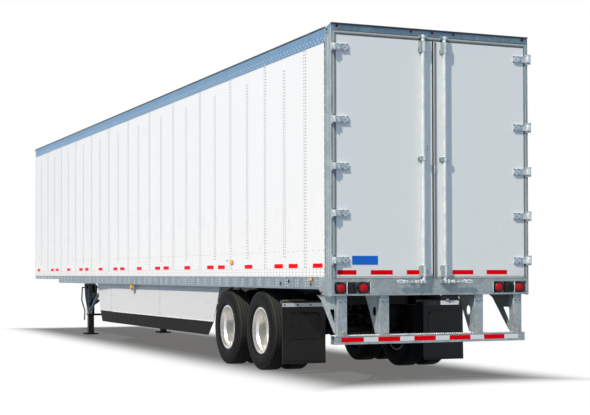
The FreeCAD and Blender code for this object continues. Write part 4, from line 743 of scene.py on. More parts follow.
class Piece:
    """Closed shapes gathered into one object with one finish."""

    def __init__(self, name, finish):
        self.name = name
        self.finish = finish
        self.shape = bmesh.new()

    def add(self, points, faces, bevel=0.0, steps=1):
        """Adds one closed shape, with its faces turned outwards."""
        part = bmesh.new()
        corners = [part.verts.new(point) for point in points]
        for face in faces:
            part.faces.new([corners[number] for number in face])
        bmesh.ops.recalc_face_normals(part, faces=part.faces[:])
        if bevel:
            sharp = [edge for edge in part.edges if edge.calc_face_angle(0) > SMOOTH_UNDER]
            bmesh.ops.bevel(part, geom=sharp, offset=bevel, segments=steps, affect="EDGES", profile=0.5)
        whole = bpy.data.meshes.new("part")
        part.to_mesh(whole)
        part.free()
        self.shape.from_mesh(whole)
        bpy.data.meshes.remove(whole)
        return self

    def block(self, x, y, z, bevel=0.0, steps=1):
        """A block between pairs of x, y and z."""
        points = [(a, b, c) for c in sorted(z) for b in sorted(y) for a in sorted(x)]
        faces = [(0, 2, 3, 1), (4, 5, 7, 6), (0, 1, 5, 4), (2, 6, 7, 3), (0, 4, 6, 2), (1, 3, 7, 5)]
        return self.add(points, faces, bevel, steps)

    def plate(self, axis, outline, ends, bevel=0.0, steps=1):
        """An outline carried along an axis; its points lie in the other two axes, in order."""
        across, up, along = SQUARE_TO[axis]
        count = len(outline)
        points = [across * u + up * v + along * end for end in sorted(ends) for u, v in outline]
        faces = [tuple(range(count))[::-1], tuple(range(count, 2 * count))]
        faces += [(n, (n + 1) % count, count + (n + 1) % count, count + n) for n in range(count)]
        return self.add(points, faces, bevel, steps)

    def cutout(self, axis, outline, holes, ends):
        """A plate with windows: an outline and its holes, carried along an axis."""
        across, up, along = SQUARE_TO[axis]
        loops = [outline] + holes
        flat = [[Vector((u, v, 0)) for u, v in loop] for loop in loops]
        count = sum(len(loop) for loop in loops)
        points = [across * u + up * v + along * end for end in ends for loop in loops for u, v in loop]
        caps = [tuple(face) for face in tessellate_polygon(flat)]
        faces = [face[::-1] for face in caps] + [tuple(number + count for number in face) for face in caps]
        start = 0
        for loop in loops:
            for number in range(len(loop)):
                here, after = start + number, start + (number + 1) % len(loop)
                faces.append((here, after, count + after, count + here))
            start += len(loop)
        return self.add(points, faces)

    def turned(self, axis, centre, profile, sides=24, way=1):
        """A profile of (radius, along) spun about an axis; it runs from the axis to the axis."""
        across, up, along = SQUARE_TO[axis]
        points, rings = [], []
        for radius, distance in profile:
            middle = Vector(centre) + along * (way * distance)
            if radius < 1e-6:
                rings.append([len(points)])
                points.append(middle)
                continue
            rings.append(list(range(len(points), len(points) + sides)))
            for number in range(sides):
                turn = FULL_TURN * number / sides
                points.append(middle + across * radius * math.cos(turn) + up * radius * math.sin(turn))
        faces = []
        loops = list(zip(rings[:-1], rings[1:]))
        if len(rings[0]) > 1 and len(rings[-1]) > 1:
            loops.append((rings[-1], rings[0]))
        for first, second in loops:
            for number in range(sides):
                after = (number + 1) % sides
                corners = [first[number % len(first)], first[after % len(first)],
                           second[after % len(second)], second[number % len(second)]]
                faces.append(tuple(dict.fromkeys(corners)))
        return self.add(points, faces)

    def bar(self, path, radius, sides=8):
        """A round bar that follows a path, with flat ends."""
        path = [Vector(point) for point in path]
        points = []
        aside = None
        for number, point in enumerate(path):
            before = path[max(number - 1, 0)]
            after = path[min(number + 1, len(path) - 1)]
            ahead = (after - before).normalized()
            if aside is None:
                aside = ahead.orthogonal().normalized()
            aside = (aside - ahead * aside.dot(ahead)).normalized()
            up = ahead.cross(aside)
            for step in range(sides):
                turn = FULL_TURN * step / sides
                points.append(point + (aside * math.cos(turn) + up * math.sin(turn)) * radius)
        faces = [tuple(range(sides)), tuple(range(len(points) - sides, len(points)))]
        for ring in range(len(path) - 1):
            for step in range(sides):
                a, b = ring * sides + step, ring * sides + (step + 1) % sides
                faces.append((a, b, b + sides, a + sides))
        return self.add(points, faces)

    def done(self, slot, body="trailer", smooth=True):
        made = mesh_object(self.name, material=self.finish)
        self.shape.to_mesh(made.data)
        self.shape.free()
        if smooth:
            made.data.shade_smooth()
            made.data.set_sharp_from_angle(angle=SMOOTH_UNDER)
        return hand_over(made, body)


def arc(centre, radius, first, last, steps):
    """Points on an arc, in degrees."""
    turns = [math.radians(first + (last - first) * number / steps) for number in range(steps + 1)]
    return [(centre[0] + radius * math.cos(turn), centre[1] + radius * math.sin(turn)) for turn in turns]


def rounded(x, y, radius, steps=3):
    """A rectangle with rounded corners, as points in order."""
    (left, right), (bottom, top) = sorted(x), sorted(y)
    corners = [((right - radius, bottom + radius), -90), ((right - radius, top - radius), 0),
               ((left + radius, top - radius), 90), ((left + radius, bottom + radius), 180)]
    return [point for centre, start in corners for point in arc(centre, radius, start, start + 90, steps)]


print("shape builder ready")

# %% [markdown]
# # Things in rows
#
# A trailer is held together by some thousands of rivets and a few hundred bolts. Nobody
# places those by hand. Each kind is a Geometry Nodes recipe: it takes plain lines or points,
# puts one small head on each place, and ends as one ordinary mesh per body. The lines are the
# only thing that has to be worked out, and they come from the frame.

# %% A recipe, and how it is cooked
class Recipe(Tree):
    """A Geometry Nodes tree with named sizes, which ends in real geometry with one finish."""

    def __init__(self, name):
        super().__init__(bpy.data.node_groups.new(name, "GeometryNodeTree"), "GeometryNode")
        for way in ("INPUT", "OUTPUT"):
            self.tree.interface.new_socket("Geometry", in_out=way, socket_type="NodeSocketGeometry")
        self.start = self.node("NodeGroupInput")
        self.end = self.node("NodeGroupOutput")
        self.given = self.start.outputs["Geometry"]
        self.sockets = {}

    def size(self, name, default, kind="Float"):
        """A named input, as an output inside the tree."""
        item = self.tree.interface.new_socket(name, in_out="INPUT", socket_type="NodeSocket" + kind)
        if default is not None:
            item.default_value = default
        self.sockets[name] = item.identifier
        return self.start.outputs[name]

    def vector(self, x=0.0, y=0.0, z=0.0):
        return self.step("ShaderNodeCombineXYZ", x, y, z)

    def place(self, shape, **moves):
        return self.node("Transform", Geometry=shape, **moves).outputs["Geometry"]

    def facing(self, way):
        """A turn that points a head's own Z along a direction."""
        made = self.node("FunctionNodeAlignRotationToVector", {"axis": "Z"}, Vector=way)
        return made.outputs["Rotation"]

    def repeat(self, shape, points, **turn):
        """The shape, set on every point."""
        made = self.node("InstanceOnPoints", Points=points, Instance=shape, **turn)
        return made.outputs["Instances"]

    def serve(self, shape, smooth):
        """Ends the recipe: real geometry, its shading and its finish."""
        real = self.node("RealizeInstances", Geometry=shape).outputs["Geometry"]
        soft = self.node("SetShadeSmooth", Geometry=real, Shade_Smooth=smooth).outputs["Geometry"]
        finish = self.size("Finish", None, "Material")
        done = self.node("SetMaterial", Geometry=soft, Material=finish).outputs["Geometry"]
        self.feed(self.end.inputs["Geometry"], done)
        return self


def cook(recipe, made, finish, body, slot, **sizes):
    """Runs a recipe on an object and keeps the result as its mesh."""
    step = made.modifiers.new("recipe", "NODES")
    step.node_group = recipe.tree
    for name, value in {**sizes, "Finish": finish}.items():
        step[recipe.sockets[name]] = value
    view = bpy.context.evaluated_depsgraph_get()
    mesh = bpy.data.meshes.new_from_object(made.evaluated_get(view))
    mesh.name = made.name
    made.modifiers.clear()
    made.data = mesh
    return hand_over(made, body)


def row_for(table, name):
    """The row of a table of sizes whose key ends the name of a piece."""
    return next(row for kind, row in table.items() if name.endswith(kind))


# %% [markdown]
# ## Rivets
#
# A rivet's head is a flattened ball sunk to its waist. Seven sides are enough at this size.
# Each kind has its own pitch and size, in one table.

# %% The rivet recipe
HEAD_SIDES = 7
HEAD_RINGS = 4
RIVETS = {  # pitch, radius, rise
    "nose_panel_rivets": (0.05, 0.006, 0.0025),
    "panel_rivets": (0.0376, 0.0095, 0.0024),
    "scuff_rivets": (0.102, 0.0075, 0.003),
    "band_rivets": (0.15, 0.007, 0.0025),
    "top_rail_rivets": (0.1, 0.01, 0.0032),
    "bottom_rail_rivets": (0.056, 0.0105, 0.0032),
    "post_rivets": (0.105, 0.007, 0.003),
    "nose_rail_rivets": (0.1, 0.007, 0.003),
    "roof_rivets": (0.1, 0.006, 0.0015),
    "door_rivets": (0.035, 0.007, 0.003),
    "skirt_rivets": (0.11, 0.0075, 0.003),
    "guard_teeth": (0.03, 0.0095, 0.009),
}


def rivet_recipe():
    made = Recipe("rivets_in_rows")
    pitch = made.size("Pitch", 0.05)
    across = made.size("Radius", 0.005)
    rise = made.size("Rise", 0.002)
    facing = made.size("Facing", (0, 0, 1), "Vector")
    ball = made.node("MeshUVSphere", Segments=HEAD_SIDES, Rings=HEAD_RINGS, Radius=1.0).outputs["Mesh"]
    head = made.place(ball, Scale=made.vector(across, across, rise))
    rows = made.node("MeshToCurve", Mesh=made.given).outputs["Curve"]
    spots = made.node("ResampleCurve", {"mode": "LENGTH"}, Curve=rows, Length=pitch).outputs["Curve"]
    return made.serve(made.repeat(head, spots, Rotation=made.facing(facing)), True)


rivets = rivet_recipe()


def rivet_rows(name, lines, finish, slot, facing, body="trailer"):
    """Rivets along straight lines, each a (start, end) pair."""
    pitch, radius, rise = row_for(RIVETS, name)
    points = [point for line in lines for point in line]
    edges = [(number, number + 1) for number in range(0, len(points), 2)]
    return cook(rivets, mesh_object(name, points, edges=edges), finish, body, slot,
                Pitch=pitch, Radius=radius, Rise=rise, Facing=facing)


# %% [markdown]
# ## Bolts
#
# A bolt is a washer, a six sided head and the end of a stud. A seeded random turn keeps the
# heads from lining up.

# %% The bolt recipe
SEED = 7
SIXTH_TURN = 1.05  # a six sided head looks the same again after this
CORNERS_PER_FLAT = 1.732  # across the flats, divided by the radius of the corners
HEAD_TAPER = 0.9
STUD_SHARE = 0.27  # radius of the stud, as a share of the head's width
WASHER_HALF = 0.002
BOLTS = {  # across the flats, height, radius of the washer, stud
    "hinge_bolts": (0.016, 0.006, 0.011, 0.003),
    "hinge_rivets": (0.009, 0.005, 0.0075, 0.001),
    "guide_bolts": (0.013, 0.005, 0.009, 0.003),
    "wheel_nuts": (0.033, 0.026, 0.0225, 0.01),
    "cap_screws": (0.009, 0.005, 0.007, 0.001),
    "flap_bolts": (0.014, 0.006, 0.011, 0.002),
    "top_bolts": (0.024, 0.013, 0.017, 0.005),
    "foot_bolts": (0.019, 0.008, 0.014, 0.003),
    "wing_bolts": (0.019, 0.008, 0.015, 0.004),
    "coupling_bolts": (0.008, 0.006, 0.0055, 0.001),
}


def bolt_recipe():
    made = Recipe("bolts_on_points")
    across = made.size("Across", 0.019)
    height = made.size("Height", 0.008)
    washer = made.size("Washer", 0.014)
    stud = made.size("Stud", 0.004)
    facing = made.size("Facing", (0, 0, 1), "Vector")
    disc = made.node("MeshCylinder", Vertices=16, Radius=washer, Depth=2 * WASHER_HALF).outputs["Mesh"]
    corner = made.math("DIVIDE", across, CORNERS_PER_FLAT)
    head = made.node("MeshCone", Vertices=6, Radius_Top=made.math("MULTIPLY", corner, HEAD_TAPER),
                     Radius_Bottom=corner, Depth=height).outputs["Mesh"]
    head = made.place(head, Translation=made.vector(z=WASHER_HALF))
    core = made.math("MULTIPLY", across, STUD_SHARE)
    tip = made.node("MeshCylinder", Vertices=10, Radius=core, Depth=stud).outputs["Mesh"]
    top = made.math("ADD", made.math("ADD", height, WASHER_HALF), made.math("DIVIDE", stud, 2.0))
    tip = made.place(tip, Translation=made.vector(z=top))
    bolt = made.node("JoinGeometry")
    for shape in (tip, head, disc):
        made.feed(bolt.inputs["Geometry"], shape)
    spun = made.node("FunctionNodeRandomValue", {"data_type": "FLOAT"}, Seed=SEED)
    made.feed(spun.inputs[3], SIXTH_TURN)
    twist = made.node("FunctionNodeAxisAngleToRotation", Axis=(0, 0, 1), Angle=spun.outputs[1])
    both = made.node("FunctionNodeRotateRotation", {"rotation_space": "LOCAL"}, Rotation=made.facing(facing),
                     Rotate_By=twist.outputs["Rotation"])
    bolt = bolt.outputs["Geometry"]
    return made.serve(made.repeat(bolt, made.given, Rotation=both.outputs["Rotation"]), False)


bolts = bolt_recipe()


def bolt_heads(name, points, finish, slot, facing, body="trailer"):
    across, height, washer, stud = row_for(BOLTS, name)
    return cook(bolts, mesh_object(name, points), finish, body, slot,
                Across=across, Height=height, Washer=washer, Stud=stud, Facing=facing)


print("rivets and bolts ready")

# %% [markdown]
# ## Rivets of the side panels
#
# The panels are about four feet wide. At each joint two columns of rivets hold the splice
# behind it, and half way between two more columns hold a post that starts lower down. Rows
# near the bottom hold the scuff band and the rail. The rivets on the white panels are painted
# near black, as painted shade for the small shadow round each head.

# %% Side rivets
SEAM_FIRST = REAR + 0.746
SEAM_PITCH = 1.278
COLUMN_SPREAD = 0.026
SEAM_COLUMN = (1.31, TOP_RAIL_LOW - 0.02)
POST_COLUMN = (1.44, TOP_RAIL_LOW - 0.16)  # it ends below the rail and above the scuff band
SCUFF_Z = 1.5
LOW_ROWS = (1.288, 1.25, 1.215)

seams = []
while SEAM_FIRST + SEAM_PITCH * len(seams) < NOSE - 0.3:
    seams.append(SEAM_FIRST + SEAM_PITCH * len(seams))
posts = [seam + SEAM_PITCH / 2 for seam in seams[:-1]] + [(seams[-1] + NOSE) / 2]
print("seams", len(seams), "posts", len(posts))


def column(x, y, ends):
    return [((x + shift, y, ends[0]), (x + shift, y, ends[1])) for shift in (-COLUMN_SPREAD, COLUMN_SPREAD)]


for side, sign in SIDES.items():
    y = sign * SKIN
    columns = [line for seam in seams for line in column(seam, y, SEAM_COLUMN)]
    columns += [line for post in posts for line in column(post, y, POST_COLUMN)]
    rows = [((REAR + 0.21, y, z), (NOSE - 0.1, y, z)) for z in (*LOW_ROWS, SCUFF_Z)]
    for name, lines in (("panel", columns), ("scuff", rows[:-1]), ("scuff_band", rows[-1:])):
        rivet_rows(f"{side}_{name}_rivets", lines, panel_rivet, "aluminium_rail", (0, sign, 0))

# %% [markdown]
# ## Rivets of the rails and the corner posts
#
# The top rail has two rows, one set half a step from the other. On the bottom rail every
# crossmember is fixed by a small group, three high and two wide. The rear posts have one row
# down their front edge.

# %% Rail rivets
BEAM_FIRST = REAR + 0.395
BEAM_PITCH = 0.305
GROUP_SPREAD = 0.028
GROUP_ROWS = (0.035, 0.068, 0.1)  # above the rail's lower edge
TOP_ROWS = (0.022, 0.058)  # above the top rail's lower edge

for side, sign in SIDES.items():
    y = sign * HALF
    heights = [TOP_RAIL_LOW + rise for rise in TOP_ROWS]
    rows = [((REAR + 0.22 + 0.05 * number, y, z), (NOSE - 0.12, y, z)) for number, z in enumerate(heights)]
    groups = []
    beam = BEAM_FIRST
    while beam < NOSE - 0.15:
        for rise in GROUP_ROWS:
            z = RAIL_BOTTOM + rise if beam < low("coupler_plate").x else RAIL_TOP - 0.012 - rise / 2
            groups.append(((beam - GROUP_SPREAD, y, z), (beam + GROUP_SPREAD, y, z)))
        beam += BEAM_PITCH
    post = [((REAR + 0.165, y, SILL_TOP + 0.04), (REAR + 0.165, y, HEADER_BOTTOM - 0.04))]
    rivet_rows(f"{side}_top_rail_rivets", rows, rail_rivet, "aluminium_rail", (0, sign, 0))
    rivet_rows(f"{side}_bottom_rail_rivets", groups, rail_rivet, "aluminium_rail", (0, sign, 0))
    rivet_rows(f"{side}_post_rivets", post, rail_rivet, "galvanised", (0, sign, 0))

# %% [markdown]
# ## The nose and the roof
#
# The nose has two upright joints and two rows of rivets along each rail. The roof sheet is
# riveted all round to the rails.

# %% Nose and roof rivets
NOSE_LOW = low("front_frame").z
NOSE_ROWS = (NOSE_LOW + 0.05, NOSE_LOW + 0.11, TOP_RAIL_LOW + 0.02, TOP_RAIL_LOW + 0.06)
NOSE_JOINT = (1.32, TOP_RAIL_LOW - 0.03)
FLAT_HALF = HALF - 0.09

lines = [((NOSE, -FLAT_HALF + 0.03, z), (NOSE, FLAT_HALF - 0.03, z)) for z in NOSE_ROWS]
rivet_rows("nose_rail_rivets", lines, rail_rivet, "aluminium_rail", (1, 0, 0))
face = high("front_wall").x
places = [third * FLAT_HALF / 3 + shift for third in (-1, 1) for shift in (-COLUMN_SPREAD, COLUMN_SPREAD)]
lines = [((face, y, NOSE_JOINT[0]), (face, y, NOSE_JOINT[1])) for y in places]
rivet_rows("nose_panel_rivets", lines, panel_rivet, "aluminium_rail", (1, 0, 0))
edge = high("roof_sheet").y - 0.02
lines = [((REAR + 0.22, sign * edge, ROOF), (NOSE - 0.1, sign * edge, ROOF)) for sign in (-1, 1)]
lines += [((x, -edge + 0.08, ROOF), (x, edge - 0.08, ROOF)) for x in (REAR + 0.2, NOSE - 0.02)]
rivet_rows("roof_rivets", lines, rail_rivet, "roof_aluminium", (0, 0, 1))

# %% [markdown]
# # The rear frame
#
# A folded steel cap runs along the top of the header and stands proud of it, which keeps the
# header's face in its shade. On top of that shadow the cap is painted dark navy and the face a
# darker, bluer zinc, as painted shade. Under the face is a narrow groove. The cap's joints show
# as fine lines, and five small red lamps sit in the face.

# %% Header cap and groove
CAP_DEEP = 0.03
CAP_TALL = 0.014
GROOVE_TALL = 0.007
SEAL_TOP = 0.034  # the seal on the header, above the doorway
SEAL_MID = 0.015
SEAL_PROUD = 0.0045
HEADER_TOP = high("rear_header").z
GROOVE_LOW = HEADER_BOTTOM + SEAL_TOP
GROOVE_TOP = GROOVE_LOW + GROOVE_TALL
JOINT_SHARES = (-0.62, -0.46, 0.3, 0.46)  # of half the width

cap = Piece("header_cap", cap_shade)
cap.block((REAR - CAP_DEEP, REAR), (-HALF + 0.012, HALF), (HEADER_TOP - CAP_TALL, HEADER_TOP - 0.0005), 0.002)
cap.done("galvanised")
seams = Piece("header_seams", header_zinc)
for share in JOINT_SHARES:
    seams.block((REAR - 0.002, REAR), about(share * HALF, 0.018), (GROOVE_TOP, HEADER_TOP - CAP_TALL), 0.0005)
seams.done("galvanised")
groove = Piece("header_groove", black_trim)
groove.block((REAR - 0.003, REAR), (-HALF + 0.02, HALF - 0.02), (GROOVE_LOW, GROOVE_TOP), 0.0008)
groove.done("black_steel")

# %% [markdown]
# ## Door seals
#
# A rubber extrusion with two lobes goes round the doorway. The outer lobe is pale and sits on
# the frame. The inner one is darker, and is fixed to the edge of each door, so it swings with
# the door. At the middle the right door carries a dark lip, a pale bead and one wide lobe,
# and the lip closes the gap between the doors.

# %% Seals on the frame
DOOR_EDGE = high("left_door").y
DOOR_TOP = high("left_door").z
DOOR_LOW = low("left_door").z
DOOR_TALL = (DOOR_LOW, DOOR_TOP)
FRAME_Y = (HALF - 0.041, HALF - 0.0215)
SEAL_Z = [HEADER_BOTTOM + rise for rise in (0.001, SEAL_MID, SEAL_TOP)]


def proud(out, clear=0.0002):
    """An x span that stands out from the rear face, and starts just clear of it."""
    return (REAR - out, REAR - clear)


def both_ways(ends):
    """A span on the left side, and the same span on the right."""
    return [[sign * end for end in ends] for sign in SIDES.values()]


SEAL_X = proud(SEAL_PROUD)
outer = Piece("frame_seals", grey_seal)
dark = Piece("post_grooves", black_trim)
# The posts' rear faces wear the blue shaded zinc: painted shade.
faces = Piece("post_faces", header_zinc)
post_z = (SILL_TOP, SEAL_Z[2])
for y in both_ways(FRAME_Y):
    outer.block(SEAL_X, y, post_z, 0.0015)
for y in both_ways((HALF - 0.021, HALF - 0.018)):
    dark.block(proud(0.0022), y, post_z, 0.0006)
for y in both_ways((HALF - 0.0178, HALF - 0.002)):
    faces.block(proud(0.001, 0.0001), y, post_z, 0.0003)
outer.block(SEAL_X, (-FRAME_Y[0], FRAME_Y[0]), SEAL_Z[1:], 0.0015).done("seal_rubber")
lip = Piece("header_seal_lip", seal_rubber)
lip.block(SEAL_X, (-FRAME_Y[0], FRAME_Y[0]), (SEAL_Z[0], SEAL_Z[1] - 0.0005), 0.0015).done("seal_rubber")
dark.done("black_steel")
faces.done("galvanised")

# %% Seals on the doors
INNER_ENDS = {"left": 0.004, "right": 0.012}  # where the seals along top and foot start, from the middle

for side, sign in SIDES.items():
    body = f"{side}_door_leaf"
    ends = [sign * INNER_ENDS[side], sign * (DOOR_EDGE - 0.004)]
    lobe = Piece(f"{side}_door_seal", seal_rubber)
    edge = [sign * (DOOR_EDGE - 0.002), sign * (HALF - 0.042)]
    lobe.block(SEAL_X, edge, (DOOR_LOW, DOOR_TOP + 0.002), 0.0015)
    lobe.block(proud(0.0012), ends, (DOOR_TOP - 0.003, DOOR_TOP + 0.004), 0.0004)
    pale = Piece(f"{side}_door_sweeps", grey_seal)
    pale.block(SEAL_X, ends, (SILL_TOP - 0.001, DOOR_LOW + 0.022), 0.0015)
    if side == "right":
        lip = Piece("centre_seal_lip", black_trim)
        lip.block(proud(0.002), (-0.0115, 0.004), DOOR_TALL, 0.0008).done("seal_rubber", body)
        pale.block(proud(0.008), (-0.023, -0.012), DOOR_TALL, 0.002)
        lobe.block(proud(0.009), (-0.045, -0.0235), DOOR_TALL, 0.003)
    lobe.done("seal_rubber", body)
    pale.done("seal_rubber", body)

# %% [markdown]
# ## Reflective tape
#
# Tape is red and white by turns: eleven inches of red, seven of white. On the rear it runs
# along the foot of both doors and along the guard. On the sides it comes as single and double
# red blocks with a thin white edge. Each strip is a thin raised plate, as real tape is.

# %% Tape on the doors and the guard
RED = 0.28
TAPE_TALL = 0.052
TAPE_Z = SILL_TOP + 0.068  # its middle on the doors
TAPE_THICK = 0.0006
DOOR_REDS = {"left": 0.065, "right": 0.255}  # first red block from the middle
DOOR_RED_PITCH = 0.46
GUARD_REDS = 5
GUARD_RED_PITCH = 0.463
GUARD_TAPE_END = 0.092  # bare steel left at the kerb end of the guard
GUARD_RED_FIRST = 1.025  # middle of the outermost block on the road side


def tape(name, finish, face, blocks, z, slot, body="trailer"):
    """Thin strips on a rear face; each block is a pair of y ends."""
    made = Piece(name, finish)
    for y in blocks:
        made.block((face - TAPE_THICK, face - 0.0001), y, z)
    made.done(slot, body, smooth=False)


for side, sign in SIDES.items():
    body = f"{side}_door_leaf"
    reds, start = [], DOOR_REDS[side]
    while start < DOOR_EDGE - 0.05:
        reds.append((sign * start, sign * min(start + RED, DOOR_EDGE - 0.012)))
        start += DOOR_RED_PITCH
    if side == "right":
        reds.pop()
    z = about(TAPE_Z, TAPE_TALL / 2)
    whites = [(sign * 0.055, sign * (DOOR_EDGE - 0.008))]
    tape(f"{side}_door_white_tape", white_tape, REAR, whites, z, "white_tape", body)
    tape(f"{side}_door_red_tape", red_tape, REAR - TAPE_THICK, reds, z, "red_tape", body)

bar_low, bar_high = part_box("guard_bar")
face = bar_low.x
z = about((bar_low.z + bar_high.z) / 2 + 0.004, TAPE_TALL / 2)
middles = [GUARD_RED_FIRST - GUARD_RED_PITCH * number for number in range(GUARD_REDS)]
tape("guard_white_tape", white_tape, face, [(bar_low.y + GUARD_TAPE_END, middles[0])], z, "white_tape")
reds = [about(middle, RED / 2) for middle in middles]
tape("guard_red_tape", red_tape, face - TAPE_THICK, reds, z, "red_tape")

# %% [markdown]
# ## The door plate
#
# The plate on the door is left blank: a thin blue sheet with rounded corners, in a pale frame.

# %% Blank plate
PLATE_Y = (0.712, 1.038)
PLATE_Z = (SILL_TOP + 0.154, SILL_TOP + 0.256)
PLATE_RIM = 0.007

wide, tall = [(ends[0] - PLATE_RIM, ends[1] + PLATE_RIM) for ends in (PLATE_Y, PLATE_Z)]
plate = Piece("door_plate_frame", door_paint)
plate.plate("x", rounded(wide, tall, 0.008), proud(0.0006, 0.0001)).done("white_door", "left_door_leaf")
plate = Piece("door_plate", blue_plate)
plate.plate("x", rounded(PLATE_Y, PLATE_Z, 0.004), proud(0.0016, 0.0006))
plate.done("blue_plate", "left_door_leaf")

# %% [markdown]
# ## Tail lamps
#
# Each corner has two round lamps pushed into thick black rubber rings, with a bolted rubber
# cover between them for the wiring. The lens is domed and has a ring of its own. These take
# the place of the plain discs that the frame carries.

# %% Tail lamps
POCKET_BACK = high("tail_lamps").x
LAMP_Z = (low("tail_lamps").z + high("tail_lamps").z) / 2
LAMP_YS = (high("tail_lamps").y - 0.064, high("tail_lamps").y - 0.064 - 0.285)
LENS_R = 0.052
RING_R = 0.069
LAMP_OUT = 0.016  # how much further out the lamp stands than its pocket's disc
RING_PROFILE = [(LENS_R - 0.003, 0.0), (RING_R - 0.002, 0.0), (RING_R, 0.003), (RING_R, LAMP_OUT + 0.014),
                (RING_R - 0.003, LAMP_OUT + 0.019), (RING_R - 0.008, LAMP_OUT + 0.021),
                (LENS_R, LAMP_OUT + 0.019), (LENS_R - 0.003, LAMP_OUT + 0.014)]
LENS_FRONT = ((LENS_R - 0.003, 0.019), (LENS_R - 0.006, 0.0225), (LENS_R - 0.013, 0.0235),
              (LENS_R - 0.015, 0.022), (LENS_R - 0.017, 0.024), (0.018, 0.0262), (0.0, 0.0268))
LENS_PROFILE = [(0.0, 0.0), (LENS_R - 0.003, 0.0)]
LENS_PROFILE += [(radius, LAMP_OUT + along) for radius, along in LENS_FRONT]
COVER_RIBS = (-0.045, -0.032, -0.019, 0.012, 0.026)
COVER_BOLTS = ((0.0, -0.044), (0.0, 0.044), (-0.042, 0.0))

rings = Piece("lamp_rings", black_trim)
lenses = Piece("tail_lenses", red_lens)
covers = Piece("lamp_covers", black_trim)
back = POCKET_BACK
for sign in SIDES.values():
    for y in LAMP_YS:
        place = (back - 0.0002, sign * y, LAMP_Z)
        rings.turned("x", place, RING_PROFILE, 32, way=-1)
        lenses.turned("x", place, LENS_PROFILE, 32, way=-1)
    middle = sign * sum(LAMP_YS) / 2
    covers.block((back - 0.03, back), about(middle, 0.056), about(LAMP_Z, 0.062), 0.004, 2)
    for shift in COVER_RIBS:
        covers.block((back - 0.035, back - 0.028), about(middle + shift, 0.004), about(LAMP_Z, 0.056), 0.002)
    for across, rise in COVER_BOLTS:
        covers.turned("x", (back - 0.03, middle + across, LAMP_Z + rise),
                      [(0, 0), (0.014, 0), (0.013, -0.008), (0, -0.01)], 16)
rings.done("black_rubber")
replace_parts(lenses.done("red_lens"), "tail_lamps")
covers.done("black_rubber")

# %% Small lamps in the header
HEADER_LAMPS = (-1.222, -0.28, 0.0, 0.28, 1.222)
SMALL_RING = [(0, 0), (0.0155, 0), (0.0155, -0.004), (0.013, -0.006), (0, -0.006)]
SMALL_LENS = [(0, -0.005), (0.0115, -0.006), (0.0105, -0.009), (0.006, -0.0115), (0, -0.012)]

small_rings = Piece("header_lamp_rings", black_trim)
small = Piece("header_lenses", dark_red_lens)
for y in HEADER_LAMPS:
    place = (REAR, y, HEADER_TOP - CAP_TALL - 0.02)
    small_rings.turned("x", place, SMALL_RING, 20)
    small.turned("x", place, SMALL_LENS, 20)
small_rings.done("black_rubber")
small.done("red_lens")

# %% [markdown]
# ## Door hardware
#
# The hinge straps are forged: the leaf on the door has a raised round boss with a big bolt
# through it and a smaller plate with two bolts beside it, and a wrap round the knuckle. The
# bolts are the recipe from above, on points that follow from each strap's own middle.

# %% Hinge detail
STRAP_LOW, STRAP_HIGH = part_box("left_hinge_straps")
STRAP_TALL = 0.076
HINGE_LOW = STRAP_LOW.z + STRAP_TALL / 2
HINGE_HIGH = STRAP_HIGH.z - STRAP_TALL / 2
HINGES = [HINGE_LOW + share * (HINGE_HIGH - HINGE_LOW) for share in (0.0, 0.22, 0.44, 0.66, 1.0)]
STRAP_FACE = REAR - 0.016
BOSS_Y = STRAP_LOW.y + 0.034
SECOND_Y = STRAP_LOW.y + 0.092
BOSS = [(0, 0), (0.033, 0), (0.032, -0.004), (0.026, -0.0055), (0.023, -0.003), (0, -0.003)]
STRAP_RIVETS = ((-0.03, -0.03), (-0.03, 0.03), (0.032, -0.03), (0.032, 0.03), (0.004, 0.0))

for side, sign in SIDES.items():
    body = f"{side}_door_leaf"
    boss = Piece(f"{side}_hinge_bosses", hinge_zinc)
    wrap = Piece(f"{side}_hinge_wraps", bright_zinc)
    spots = []
    for z in HINGES:
        boss.turned("x", (STRAP_FACE, sign * BOSS_Y, z), BOSS, 22)
        boss.plate("x", rounded(about(sign * SECOND_Y, 0.021), about(z, 0.03), 0.006),
                   (STRAP_FACE - 0.004, STRAP_FACE), 0.0015)
        for rise in (-0.033, 0.033):
            edge = [sign * (STRAP_LOW.y + 0.004), sign * (STRAP_LOW.y + 0.15)]
            boss.block((STRAP_FACE - 0.0045, STRAP_FACE), edge, about(z + rise, 0.0035), 0.0012)
        knuckle = [sign * (STRAP_HIGH.y - 0.018), sign * (STRAP_HIGH.y - 0.05)]
        wrap.block((REAR - 0.0545, STRAP_FACE - 0.0002), knuckle, about(z, 0.0365), 0.003)
        spots += [(STRAP_FACE - 0.0005, sign * (BOSS_Y + across), z + rise) for across, rise in STRAP_RIVETS]
    boss.done("galvanised", body)
    wrap.done("galvanised", body)
    points = [(STRAP_FACE - 0.003, sign * BOSS_Y, z) for z in HINGES]
    points += [(STRAP_FACE - 0.004, sign * SECOND_Y, z + rise) for z in HINGES for rise in (-0.016, 0.016)]
    bolt_heads(f"{side}_hinge_bolts", points, zinc, "galvanised", (-1, 0, 0), body)
    # The small black heads round each boss are painted shade: dark dots for the shaded notches.
    bolt_heads(f"{side}_hinge_rivets", spots, black_trim, "black_steel", (-1, 0, 0), body)

# %% [markdown]
# ## Lock rods
#
# The lock rods turn in guides: a bent plate bolted through the door, with a long collar over
# the rod. The middle guide is short and wide.

# %% Rods, collars and guides
ROD_LOW, ROD_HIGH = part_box("left_lock_rod")
ROD_Y = 0.14
ROD_X = REAR - 0.033
ROD_R = 0.0205
COLLAR_DEEP = REAR - 0.0522
COLLAR_RIM = [(0, 0), (0.0228, 0), (0.0228, 0.006), (0.0212, 0.01), (0, 0.01)]
GUIDES = (  # middle, collar's height, plate's half width, half height and lift
    (DOOR_LOW + 0.076, 0.13, 0.049, 0.027, 0.03),
    ((DOOR_LOW + DOOR_TOP) / 2, 0.05, 0.056, 0.024, 0),
    (DOOR_TOP - 0.076, 0.13, 0.049, 0.027, -0.03),
)

